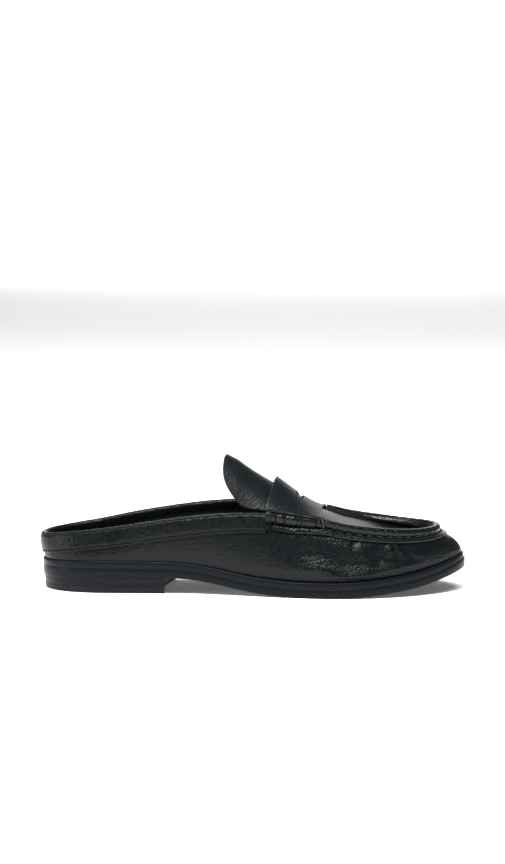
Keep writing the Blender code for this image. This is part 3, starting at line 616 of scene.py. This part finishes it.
plug_grid = plug(*np.broadcast_arrays(shares[first : columns // 2, None], steps))
points, plug_ends = [side], []
for slot, (base, lift) in enumerate(((top, 0.0), (lower_top, -WALL))):
    start = len(side) + slot * plug_grid[..., 0].size
    numbers = start + np.arange(plug_grid[..., 0].size).reshape(plug_grid.shape[:2])
    grid = [[base + first + i, *row, base + len(loop) - first - i] for i, row in enumerate(numbers.tolist())]
    points.append((plug_grid + (0, 0, lift)).reshape(-1, 3))
    plug_ends.append(grid[0])
    tip = base + columns // 2
    cap = faces_between(grid) + [[grid[-1][j], tip, grid[-1][j + 1]] for j in range(across_count)]
    faces += cap if slot == 0 else [face[::-1] for face in cap]
    slots += [slot] * len(cap)
over, under = plug_ends
faces += [[over[j], over[j + 1], under[j + 1], under[j]] for j in range(across_count)]
slots += [0] * across_count
upper = show("upper_leather", np.vstack(points), faces, [grained, lining], slots)
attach(upper, "root")
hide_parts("upper")

# Insole. The sock that the foot stands on: smooth leather over the lasting board, glued down inside the upper.

INSOLE_THICK, INSOLE_INSET, INSOLE_EDGE = 0.0026, WALL + 2 * GAP, 0.0004


def insole_inset(place):
    share = outline_rail(place)[..., 0] / LENGTH + 0.5
    return toe_taper(place) + WELT_MARGIN * margin_share(share) + INSOLE_INSET


sock_leather = pebbled("sock leather", (0.008, 0.009, 0.010), 0.28, grain=0.0006, depth=0.00004, shine=0.4)
rings = [
    (insole_inset, lambda x: seat(x) + GAP),
    (insole_inset, lambda x: seat(x) + GAP + INSOLE_THICK * 0.7),
    (lambda place: insole_inset(place) + INSOLE_EDGE, lambda x: seat(x) + GAP + INSOLE_THICK),
]
points, faces = slab(rings, 100, 20)
insole = show("insole_sock", points, faces, [sock_leather])
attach(insole, "root")
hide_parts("insole")

# Collar band. A strip of the same leather folded over the topline from beef roll to beef roll.
# It is glued down on both faces, and one row of stitches above its raw lower edge goes right through.

BAND_THICK, BAND_DEPTH, BAND_TURN_IN = 0.0010, 0.0106, 0.0032
ROLL_START, ROLL_END = 0.5346 * LENGTH, 0.6680 * LENGTH
STITCH_PITCH, STITCH_LONG, THREAD, STITCH_ROW = 0.0031, 0.0019, 0.00050, 0.0015


def swept(grid, turned=False):
    """A solid from a grid whose rows are closed loops, with flat ends, as points and faces."""
    rows, columns = grid.shape[:2]
    faces = grid_faces(rows, columns, wrap=True, turned=turned)
    last = (rows - 1) * columns
    ends = [list(range(columns))[::-1], [last + j for j in range(columns)]]
    faces += [face[::-1] for face in ends] if turned else ends
    return grid.reshape(-1, 3), faces


def joined(solids):
    """Several solids as one set of points and faces."""
    points, faces, count = [], [], 0
    for solid_points, solid_faces in solids:
        points.append(solid_points)
        faces += [[c + count for c in face] for face in solid_faces]
        count += len(solid_points)
    return np.vstack(points), faces


def reach_along(line):
    return np.append(0, np.cumsum(np.linalg.norm(np.diff(line, axis=0), axis=1)))


def run_places(start, end, down, out, pitch):
    """Places spaced evenly along a line that runs round the shoe, between two places."""
    fine = np.linspace(start, end, 1500)
    reach = reach_along(off_edge(fine, down, out))
    count = max(2, int(round(reach[-1] / pitch)))
    marks = (np.arange(count) + 0.5) / count * reach[-1]
    return np.interp(marks, reach, fine)


def stitches(centres, directions, normals, long, thick):
    """Short threads that dip into the leather at both ends, as points and faces."""
    profile = [(-0.5, 0.35, -0.5), (-0.36, 0.85, 0.0), (0.0, 1.0, 0.25), (0.36, 0.85, 0.0), (0.5, 0.35, -0.5)]
    angles = np.arange(6)[:, None] * math.pi / 3
    threads = []
    for centre, ahead, normal in zip(centres, directions, normals):
        ring = np.cross(normal, ahead) * np.cos(angles) + normal * np.sin(angles)
        middles = [centre + ahead * long * reach + normal * thick * rise for reach, _, rise in profile]
        rings = [middle + ring * thick / 2 * wide for middle, (_, wide, _) in zip(middles, profile)]
        threads.append(swept(np.array(rings)))
    return joined(threads)


def row_of_stitches(places, down, out, long, thick, up=0.9, facing=1):
    here, ahead = off_edge(places, down, out), off_edge(places + 1e-3, down, out)
    return stitches(here, unit(ahead - here), wall_normal(places, up) * facing, long, thick)


def thread_material(name, colour):
    """Waxed thread: twisted strands with a soft shine."""
    material = new_material(name, {"Roughness": 0.5, "Specular IOR Level": 0.12})
    place = add(material, "TexCoord", {})["Object"]
    strands = {"Vector": place, "Scale": 900.0}
    twist = add(material, "TexWave", strands, bands_direction="DIAGONAL")["Fac"]
    surface(material, colour, 0.6, 1.4, twist, twist, 0.4, 0.0001)
    return material


thread = thread_material("black thread", (0.004, 0.0045, 0.005))
waxed_thread = thread_material("waxed hand thread", (0.014, 0.0165, 0.018))
smooth_grain = pebbled("fine grained leather", (0.0050, 0.0064, 0.0072), 0.33, grain=0.0011, depth=0.00008)
rolled = pebbled("rolled leather", (0.0042, 0.0054, 0.0062), 0.24, grain=0.0012, depth=0.00009, shine=0.2)
start = place_at(edge_rail, ROLL_START - GAP - LENGTH / 2, LATERAL)
end = place_at(edge_rail, ROLL_START - GAP - LENGTH / 2, MEDIAL)
turned = np.linspace(-1, 1, 1441)
places = np.where(turned < 0, start * np.abs(turned) ** 1.2, end * np.abs(turned) ** 1.2)
radius = WALL / 2 + GAP
# Cut edges get a lighter colour than the grain face. This is partly the raw leather's own tone and partly a painted
# highlight for the light that the edges catch.
cut_edge_and_painted_highlight = rubbed_edge("cut leather edge and painted highlight", (0.022, 0.025, 0.027), 0.50, 60)
row_down, face_out = BAND_DEPTH - STITCH_ROW, GAP + BAND_THICK
outside = [(BAND_DEPTH, 0.0), (BAND_DEPTH, 0.0004), (BAND_DEPTH - 0.0003, 0.0009)]
outside += [(row_down + 0.0006, face_out * 0.88), (row_down + 0.0002, face_out * 0.48)]
outside += [(row_down - 0.0002, face_out * 0.48), (row_down - 0.0007, face_out * 0.92)]
outside += [(row_down - 0.0016, face_out * 1.05), (0.0060, face_out * 1.1), (0.0034, face_out * 1.14)]
outside += [(0.0016, face_out * 1.1), (0.0005, face_out * 1.0)]
rim = []
for turn in range(6, 175, 8):
    angle = math.radians(turn)
    reach = radius + BAND_THICK - 0.00035 * math.exp(-(((turn - 22) / 10) ** 2))
    rim.append((-reach * math.sin(angle), reach * math.cos(angle) - WALL / 2))
inside = [(0.0010, -WALL - GAP - BAND_THICK), (BAND_TURN_IN - 0.0003, -WALL - GAP - BAND_THICK)]
inside += [(BAND_TURN_IN, -WALL - GAP - 0.6 * BAND_THICK), (BAND_TURN_IN, -WALL - GAP)]
under = [(0.0005, -WALL - GAP), (-0.0003, -WALL / 2), (0.0005, GAP), (BAND_DEPTH / 2, GAP)]
down, out = np.array(outside + rim + inside + under).T
band_grid = off_edge(places[:, None], down[None, :], out[None, :])
stitch_places = run_places(start, end, row_down, face_out * 0.58, STITCH_PITCH)
phase = np.interp(places, stitch_places, np.arange(len(stitch_places)))
between = 1 - ease(np.abs(phase - np.round(phase)), 0.42, 0.30)
raised = wall_normal(places, 0.9) * (between * face_out * 0.40)[:, None]
band_grid[:, 4:6] += raised[:, None]
slots = [0] * len(down)
slots[len(outside) + 5 : len(outside) + 10] = [1] * 5
slots = slots * (len(places) - 1) + [0, 0]
collar = show("collar_strip", *swept(band_grid, turned=True), [grained, rolled], slots)
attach(collar, "root")
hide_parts("collar_band")
for name, out in (("collar_stitches", face_out * 0.58), ("lining_stitches", -WALL - 0.0001)):
    row = row_of_stitches(run_places(start, end, row_down, out, STITCH_PITCH), row_down, out, STITCH_LONG, THREAD)
    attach(show(name, *row, [thread]), "root")

# Tongue. A flap of leather lapped under the plug, which stands up behind the strap.
# It is lined with smooth leather, and the two layers show along its cut edge.

TONGUE_THICK, TONGUE_LAP, TONGUE_FRONT, TONGUE_BACK = 0.0024, 0.0060, 0.5740 * LENGTH, 0.4270 * LENGTH
TONGUE_TUCK, TONGUE_INSET, TONGUE_CORNER, TONGUE_DIP = 0.0025, 0.0038, 0.26, 0.045
TONGUE_REACH, TONGUE_NARROWING = 0.90, 0.085


def from_heel(distance):
    return distance - LENGTH / 2


def edge_at(x):
    """Half the width between the upper's top edges, its middle, and their mean height, at each x."""
    fine = np.linspace(0, 1, 1200)
    lateral, medial = top_edge(-fine), top_edge(fine)
    y_low, z_low = (np.interp(x, lateral[:, 0], lateral[:, i]) for i in (1, 2))
    y_high, z_high = (np.interp(x, medial[:, 0], medial[:, i]) for i in (1, 2))
    return (y_high - y_low) / 2, (y_high + y_low) / 2, (z_low + z_high) / 2


def arch(x, across, half, side_height, top_height):
    rise = (top_height - side_height) * (1 - np.abs(across) ** 2.2)
    return np.stack([x, half * across, side_height + rise], axis=-1)


def layered(grid, levels, level_slots):
    """A sheet built up in levels: each is (distance along the normal, how far its edge is drawn in)."""
    rows, columns = grid.shape[:2]
    normals = unit(np.cross(np.gradient(grid, axis=0), np.gradient(grid, axis=1)))
    rim = [(0, j) for j in range(columns)] + [(i, columns - 1) for i in range(1, rows)]
    rim += [(rows - 1, j) for j in range(columns - 2, -1, -1)] + [(i, 0) for i in range(rows - 2, 0, -1)]
    inward = np.zeros_like(grid)
    inward[0] += unit(grid[1] - grid[0])
    inward[-1] += unit(grid[-2] - grid[-1])
    inward[:, 0] += unit(grid[:, 1] - grid[:, 0])
    inward[:, -1] += unit(grid[:, -2] - grid[:, -1])
    points = [(grid + normals * distance + inward * drawn).reshape(-1, 3) for distance, drawn in levels]
    size = rows * columns
    top = grid_faces(rows, columns)
    faces = [[c + (len(levels) - 1) * size for c in face[::-1]] for face in top] + top
    slots = [level_slots[-1]] * len(top) + [level_slots[0]] * len(top)
    for number in range(len(levels) - 1):
        for a, b in zip(rim, rim[1:] + rim[:1]):
            i, j = a[0] * columns + a[1], b[0] * columns + b[1]
            low, high = number * size, (number + 1) * size
            faces.append([low + j, low + i, high + i, high + j])
            slots.append(level_slots[number])
    return np.vstack(points), faces, slots


tongue_rows, tongue_columns = 70, 90
back_share = np.linspace(1, 0, tongue_rows)[:, None] * np.ones(tongue_columns)
side_share = np.linspace(-1, 1, tongue_columns) * np.ones((tongue_rows, 1))
front = from_heel(TONGUE_FRONT) + TONGUE_LAP
end_share = 1 - TONGUE_CORNER * side_share**8 - TONGUE_DIP * (1 - side_share**2) ** 2
x = front - (TONGUE_FRONT + TONGUE_LAP - TONGUE_BACK) * back_share * end_share
half, middle, side_height = edge_at(x)
lap = ease(x, from_heel(TONGUE_FRONT) - TONGUE_LAP, from_heel(TONGUE_FRONT))
under = (WALL + GAP) * lap * 1.25
reach = TONGUE_REACH - TONGUE_NARROWING * (1 - ease(x, from_heel(TONGUE_BACK), from_heel(LENGTH / 2)))
grid = arch(x, side_share * reach, half - TONGUE_INSET - under / 2, side_height - TONGUE_TUCK, crown(x) - under)
grid[..., 1] += middle
thick = TONGUE_THICK
# through the tongue from the lining up: distance from its face, how far its edge is drawn in
tongue_levels = [(-thick, 0.0002), (-thick * 0.96, 0.0), (-thick * 0.66, 0.0), (-thick * 0.62, 0.0007)]
tongue_levels += [(-thick * 0.50, 0.0007), (-thick * 0.46, 0.0003), (-thick * 0.10, 0.0003), (0.0, 0.0007)]
# The cut edges of the two layers take the lighter cut-edge colour, and part of that colour is painted highlight.
points, faces, slots = layered(grid, tongue_levels, [1, 2, 0, 0, 0, 2, 0, 0])
tongue = show("tongue_flap", points, faces, [smooth_grain, lining, cut_edge_and_painted_highlight], slots)
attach(tongue, "root")
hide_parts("tongue")

# Apron seam. The raised seam round the plug: plug and vamp are pinched into a roll and sewn through by hand.
# The vamp's cut edge lies flat below it as a narrow flange, and the stitches sit in the crease between them.

LIP_ABOVE, LIP_BELOW, LIP_HEIGHT = 0.0039, 0.0022, 0.0049
FLANGE_WIDTH, FLANGE_THICK, ROLL_CLEARANCE = 0.0040, 0.0010, 0.0005
HAND_PITCH, HAND_LONG, HAND_THREAD = 0.0063, 0.0043, 0.0009

lateral_end = place_at(edge_rail, from_heel(ROLL_END) + GAP, LATERAL)
medial_end = place_at(edge_rail, from_heel(ROLL_END) + GAP, MEDIAL)
places = np.concatenate([np.linspace(lateral_end, -1, 400), np.linspace(1, medial_end, 400)[1:]])
reach = reach_along(off_edge(places, 0.002, 0.002))
pucker = (0.5 + 0.5 * np.cos(2 * math.pi * reach / HAND_PITCH)) ** 4
base = ROLL_CLEARANCE
turn = np.arange(180, 0, -6)
angle = np.radians(turn)
rim_groove = 1 - 0.10 * np.exp(-(((turn - 138) / 8) ** 2))
lip_down = np.where(turn > 90, LIP_ABOVE, LIP_BELOW) * np.cos(angle) * rim_groove
lip = np.column_stack([lip_down, base + LIP_HEIGHT * np.sin(angle) ** 0.9 * rim_groove])
crease = LIP_BELOW + 0.0001
flange_end = LIP_BELOW + FLANGE_WIDTH
flange = [(crease, base + 0.0006), (crease + 0.0005, base + FLANGE_THICK)]
flange += [(crease + 0.0016, base + FLANGE_THICK * 1.15), (flange_end - 0.0003, base + FLANGE_THICK)]
flange += [(flange_end, base + FLANGE_THICK * 0.6), (flange_end, base), (LIP_BELOW, base), (0.0, base)]
flange += [(-0.0002, -0.0019), (-0.0009, -0.0017), (-0.0024, -0.0007)]
section = np.vstack([lip, flange])
pucker_share = np.append(np.sin(angle) * (0.4 + 0.6 * (turn < 80)), np.zeros(len(flange)))
out = section[:, 1] - pucker[:, None] * pucker_share * 0.00045
grid = off_edge(places[:, None], section[None, :, 0], out)
slots = [0] * len(section)
# The flange's lower edge takes the lighter cut-edge colour, and part of that colour is a painted highlight along it.
slots[len(lip) + 3 : len(lip) + 5] = [1] * 2
slots[-5:] = [2] * 5
slots = slots * (len(places) - 1) + [0, 0]
seam = show("apron_seam", *swept(grid), [rolled, cut_edge_and_painted_highlight, lining], slots)
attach(seam, "root")
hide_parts("apron_roll")

marks = np.interp(np.arange(0.5, reach[-1] / HAND_PITCH) * HAND_PITCH, reach, np.arange(len(places)))
marks = np.interp(marks, np.arange(len(places)), places)
rows = [
    row_of_stitches(marks, crease + 0.0004, base + 0.0012, HAND_LONG, HAND_THREAD, 0.95),
    row_of_stitches(marks, -0.0013, -0.0015, HAND_LONG, HAND_THREAD * 0.8, 0.95, -1),
]
hand_thread = show("apron_stitches", *joined(rows), [waxed_thread])
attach(hand_thread, "root")

# Beef rolls. Each end of the strap is folded round the seam and bound down with turns of cord,
# which pinch it into short rolls.
# A flat tab closes the roll at the back, and the strap's cut edge lies below it on the wall.

BEEF_HEIGHT, BEEF_ABOVE, BEEF_BELOW = 0.0056, 0.0046, 0.0043
BEEF_FACE, THONG_PLACE = BEEF_BELOW * 0.86, 0.975
# the cord's turns: share of the roll's length from the back, lean towards the toe
TURNS = [(0.215, 0.0), (0.390, 0.006), (0.590, -0.02), (0.655, 0.0), (0.875, -0.01)]
CORD, THONG, TAB_SHARE, TAB_THICK = 0.0006, 0.0013, 0.125, 0.0006
# small stitches of the cut edge: share of the roll's length, how long they are
TACKS = [(0.137, 0.0030), (0.296, 0.0030), (0.411, 0.0009), (0.505, 0.0009)]


def tube_along(line, radius, sides):
    """A round cord along a line, as points and faces."""
    ahead = unit(np.gradient(line, axis=0))
    first = unit(np.cross(ahead, np.array([1.0, 0.0, 0.0])))
    second = np.cross(ahead, first)
    angles = (np.arange(sides) * 2 * math.pi / sides)[None, :, None]
    return swept(line[:, None] + radius * (first[:, None] * np.cos(angles) + second[:, None] * np.sin(angles)))


def beef_roll(side, name):
    """The roll, its cords and tacks, the flat tab at its back, and the thong that ties off its front."""
    start, end = (place_at(edge_rail, from_heel(x), side) for x in (ROLL_START, ROLL_END))

    def at(share):
        return start + (end - start) * share

    shares = np.linspace(0, 1, 161)
    pinch = np.exp(-(((shares - THONG_PLACE) / 0.03) ** 2))
    for share, _ in TURNS:
        pinch = np.maximum(pinch, np.exp(-(((shares - share) / 0.022) ** 2)))
    taper = 1 - 0.25 * ease(shares, 0.5, 1.0)
    section = [(math.cos(angle), math.sin(angle)) for angle in np.radians(np.arange(180, -1, -6))]
    down, out = [], []
    for cosine, sine in section:
        reach = BEEF_ABOVE if cosine < 0 else BEEF_FACE
        squeeze = 0.0009 * pinch
        down.append(cosine * (reach * taper - squeeze * 0.4))
        groove = 0.0016 * math.exp(-(((math.degrees(math.acos(cosine)) - 124) / 8) ** 2))
        out.append(base + sine * (BEEF_HEIGHT * taper - squeeze) * 0.97 - groove * sine)
    wide = FLANGE_WIDTH * 1.02
    flange = [(0.0002, FLANGE_THICK * 0.7), (0.0008, FLANGE_THICK * 1.2)]
    flange += [(FLANGE_WIDTH * 0.9, FLANGE_THICK * 1.1), (wide, FLANGE_THICK * 0.6)]
    flange += [(wide, 0.0), (FLANGE_WIDTH * 0.5, 0.0)]
    for more, rise in flange:
        down.append(BEEF_FACE * taper + more)
        out.append(np.full(len(shares), base + rise))
    down.append(np.zeros(len(shares)))
    out.append(np.full(len(shares), base))
    grid = off_edge(at(shares)[:, None], np.array(down).T, np.array(out).T)
    roll = show(name, *swept(grid, side == MEDIAL), [rolled])

    cords = []
    for share, lean in TURNS:
        turn = np.arange(165, -16, -12)
        angle = np.radians(np.maximum(turn, 0))
        here = share + lean * (turn - 90) / 90
        thin = 1 - 0.25 * ease(here, 0.5, 1.0)
        reach = np.where(turn > 90, BEEF_ABOVE, BEEF_FACE)
        fall = np.maximum(0, -turn) / 15 * 0.0010
        down = np.cos(angle) * (reach * thin - 0.0003) + fall
        out = base + np.sin(angle) * (BEEF_HEIGHT * thin - 0.0007) + np.where(turn < 0, 0.0009, 0)
        line = off_edge(at(np.clip(here, 0.01, 0.99)), down, out)
        cords.append(tube_along(line, CORD / 2, 8))
    tacks = np.array(TACKS)
    tack_places = at(tacks[:, 0])
    tack_down = BEEF_FACE + FLANGE_WIDTH * 0.55
    here = off_edge(tack_places, tack_down, base + FLANGE_THICK * 1.15)
    below = off_edge(tack_places, tack_down + 0.001, base + FLANGE_THICK * 1.15)
    normals = wall_normal(tack_places, 0.9)
    for number, long in enumerate(tacks[:, 1]):
        one = slice(number, number + 1)
        cords.append(stitches(here[one], unit(below - here)[one], normals[one], long, 0.0006))
    binding = show(name + "_cord", *joined(cords), [thread])

    outer = []
    for cosine, sine in section:
        reach = BEEF_ABOVE if cosine < 0 else BEEF_FACE
        outer.append((cosine * (reach + TAB_THICK), base + sine * (BEEF_HEIGHT + TAB_THICK)))
    tail = BEEF_FACE + wide + 0.0004
    outer += [(BEEF_FACE + 0.0010, base + 0.0019), (tail - 0.0002, base + 0.0017)]
    outer += [(tail, base + 0.0013), (tail, base)]
    down, out = np.array(outer).T
    # along the tab: share of the roll's length, how far its rounded edge is drawn in
    tab_rows = np.array([
        (-0.004, 0.0004), (0.0, 0.0001), (0.01, 0.0), (0.05, 0.0), (0.09, 0.0),
        (TAB_SHARE - 0.006, 0.0001), (TAB_SHARE, 0.0004),
    ])
    grid = off_edge(at(tab_rows[:, :1]), down[None, :], out[None, :] - tab_rows[:, 1:])
    tab = show(name + "_tab", *swept(grid, side == MEDIAL), [smooth_grain])

    turn = np.arange(150, -1, -10)
    angle = np.radians(turn)
    down = np.cos(angle) * np.where(turn > 90, BEEF_ABOVE, BEEF_FACE) * 0.76
    over = np.stack([THONG_PLACE + 0.02 * np.cos(angle), down, base + np.sin(angle) * BEEF_HEIGHT * 0.76])
    low = BEEF_FACE * 0.76
    tail = [(0.965, low + 0.0008, base + 0.0011), (0.92, low + 0.0016, base + 0.0014)]
    tail += [(0.87, low + 0.0022, base + 0.0014), (0.815, low + 0.0027, base + 0.0008)]
    share, down, out = np.vstack([over.T, tail]).T
    line = off_edge(at(share), down, out)
    thong = show(name + "_thong", *tube_along(line, THONG / 2, 10), [cut_edge_and_painted_highlight])
    return roll, binding, tab, thong


for side, name in ((LATERAL, "beef_roll_lateral"), (MEDIAL, "beef_roll_medial")):
    roll, binding, tab, thong = beef_roll(side, name.replace("beef_roll", "bound_roll"))
    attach(roll, "root")
    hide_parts(name)
    for piece in (binding, tab, thong):
        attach(piece, "root")

# Saddle strap. A band of leather across the instep, cut with one long slit that the arch of the instep opens.
# It lies on the plug in front and stands off the tongue behind, with its ends down inside the beef rolls.

STRAP_THICK, STRAP_BACK, STRAP_FRONT = 0.0016, 0.5515 * LENGTH, 0.6598 * LENGTH
STRAP_FLARE_BACK, STRAP_FLARE_FRONT = 0.0055, 0.0022
STRAP_LIFT, STRAP_SEAT, STRAP_INSET = 0.0034, 0.0030, 0.0019
SLIT_PLACE, SLIT_WIDTH, SLIT_REACH, SLIT_END_WIDTH = 0.6071 * LENGTH, 0.0050, 0.72, 0.0004


def strap_surface(across, x):
    half, middle, side_height = edge_at(x)
    share = (from_heel(STRAP_FRONT) - x) / (STRAP_FRONT - STRAP_BACK)
    lift = STRAP_LIFT * np.clip(share, 0.0, 1.2)
    point = arch(x, across, half - STRAP_THICK - STRAP_INSET, side_height + STRAP_SEAT, crown(x) + GAP + lift)
    point[..., 1] += middle
    return point


half_rows, strap_columns = 20, 161
across = np.linspace(-1, 1, strap_columns)
back = from_heel(STRAP_BACK) - STRAP_FLARE_BACK * across**2
front = from_heel(STRAP_FRONT) + STRAP_FLARE_FRONT * across**2
open_share = np.clip(1 - (across / SLIT_REACH) ** 2, 0, 1)
half_slit = (SLIT_END_WIDTH + (SLIT_WIDTH - SLIT_END_WIDTH) * open_share) / 2 * (np.abs(across) < SLIT_REACH)
slit = from_heel(SLIT_PLACE)
steps = np.linspace(0, 1, half_rows)[:, None]
slit_back, slit_front = slit - half_slit, slit + half_slit
strap_x = np.vstack([back + (slit_back - back) * steps, slit_front + (front - slit_front) * steps])
grid = strap_surface(np.repeat(across[None, :], 2 * half_rows, axis=0), strap_x)
# across the strap's thickness: distance from its underside, how far its edge is drawn in
strap_levels = [(0.0, 0.0002), (0.0002, 0.0), (STRAP_THICK * 0.75, 0.0), (STRAP_THICK * 0.95, 0.00015)]
strap_levels.append((STRAP_THICK, 0.0005))
# The strap's cut edge takes the lighter cut-edge colour, and part of that colour is painted highlight.
halves, slots = [], []
for half_grid in (grid[:half_rows], grid[half_rows:]):
    points, faces, half_slots = layered(half_grid, strap_levels, [0, 1, 1, 0, 0])
    halves.append((points, faces))
    slots += half_slots
strap = show("strap_leather", *joined(halves), [smooth_grain, cut_edge_and_painted_highlight], slots)
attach(strap, "root")
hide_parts("saddle_strap")
# Under the slit lies a thin black sheet. It is painted shade: a dark stand-in for the shadow in the gap between the
# strap's halves.
patch_x, patch_across = np.meshgrid(slit + np.linspace(-0.0045, 0.0045, 8), across[16:-16], indexing="ij")
patch = strap_surface(patch_across, patch_x)
points, faces, slots = layered(patch, [(-0.0006, 0.0), (-0.0003, 0.0)], [0, 0])
painted_shade_material = rubber("black sheet for painted shade", (0.003, 0.0034, 0.0038))
painted_shade_sheet = show("slit_painted_shade", points, faces, [painted_shade_material], slots)
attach(painted_shade_sheet, "root")

# Studio. A white floor and backdrop, one broad light above and two weaker ones in front and at the left,
# and a camera that stands where the photograph's did.

white = (1, 1, 1, 1)
paper = {"Base Color": (0.9, 0.9, 0.9, 1), "Roughness": 0.9, "Emission Color": white, "Emission Strength": 0.10}
floor_paper = new_material("studio floor", paper)
ripple = add(floor_paper, "TexNoise", {"Scale": 3.0})["Fac"]
ripple = add(floor_paper, "Bump", {"Strength": 0.02, "Height": ripple})["Normal"]
feed(floor_paper, floor_paper.node_tree.nodes["Principled BSDF"], {"Normal": ripple})
screen = new_material("white backdrop", {"Emission Color": white, "Emission Strength": 1.0})
for name, corners, material in (
    ("floor", [(-6, -6, 0), (6, -6, 0), (6, 6, 0), (-6, 6, 0)], floor_paper),
    ("backdrop", [(-0.7, 3, -0.1), (0.7, 3, -0.1), (0.7, 3, 2.8), (-0.7, 3, 2.8)], screen),
):
    mesh = bpy.data.meshes.new(name)
    mesh.from_pydata(corners, [], [[0, 1, 2, 3]])
    mesh.materials.append(material)
    panel = bpy.data.objects.new(name, mesh)
    bpy.context.collection.objects.link(panel)


def area_light(name, spot, aim, width, power, depth):
    light = bpy.data.lights.new(name, "AREA")
    light.shape = "RECTANGLE"
    light.size, light.size_y = width, depth
    light.energy = power
    holder = bpy.data.objects.new(name, light)
    bpy.context.collection.objects.link(holder)
    holder.location = spot
    holder.rotation_euler = (Vector(aim) - Vector(spot)).to_track_quat("-Z", "Y").to_euler()
    return holder


overhead = area_light("overhead softbox", (0, 0, 1.6), (0, 0, 0.03), 1.9, 62, 1.6)
overhead.visible_glossy = False
area_light("front key", (-0.22, -0.52, 1.25), (0, 0, 0.03), 0.60, 26, 0.30)
area_light("left strip", (-1.1, -0.45, 0.32), (-0.05, 0, 0.03), 0.16, 4.2, 0.45)

world = bpy.data.worlds.new("studio")
world.use_nodes = True
sky = world.node_tree.nodes["Background"]
sky.inputs["Color"].default_value = white
sky.inputs["Strength"].default_value = 0.15
bpy.context.scene.world = world
bpy.context.scene.view_settings.view_transform = "Standard"

# where the camera stood, and the pixel that its axis is aimed at, with the target's own pixel
AZIMUTH, ELEVATION, DISTANCE = math.radians(2.5), math.radians(8.2), 1.9
TARGET = Vector((0.0007, 0, 0.040))
PIXEL = 0.632e-3
AXIS_UP, AXIS_LEFT = 92.0, 1.0
backward = Vector(
    (math.sin(AZIMUTH) * math.cos(ELEVATION), -math.cos(AZIMUTH) * math.cos(ELEVATION), math.sin(ELEVATION))
)
eye = TARGET + backward * DISTANCE
ahead = -backward
right = ahead.cross(Vector((0, 0, 1))).normalized()
upward = right.cross(ahead)
focal = DISTANCE / PIXEL
pitch, yaw = math.atan(AXIS_UP / focal), math.atan(AXIS_LEFT / focal)
axis = (ahead * math.cos(pitch) + upward * math.sin(pitch)).normalized()
axis = (axis * math.cos(yaw) - right * math.sin(yaw)).normalized()
lens = bpy.data.cameras.new("camera")
lens.sensor_width = 36.0
lens.lens = focal * 36.0 / 864
lens.clip_start, lens.clip_end = 0.05, 30.0
camera = bpy.data.objects.new("camera", lens)
bpy.context.collection.objects.link(camera)
camera.location = eye
camera.rotation_euler = axis.to_track_quat("-Z", "Y").to_euler()
bpy.context.scene.camera = camera
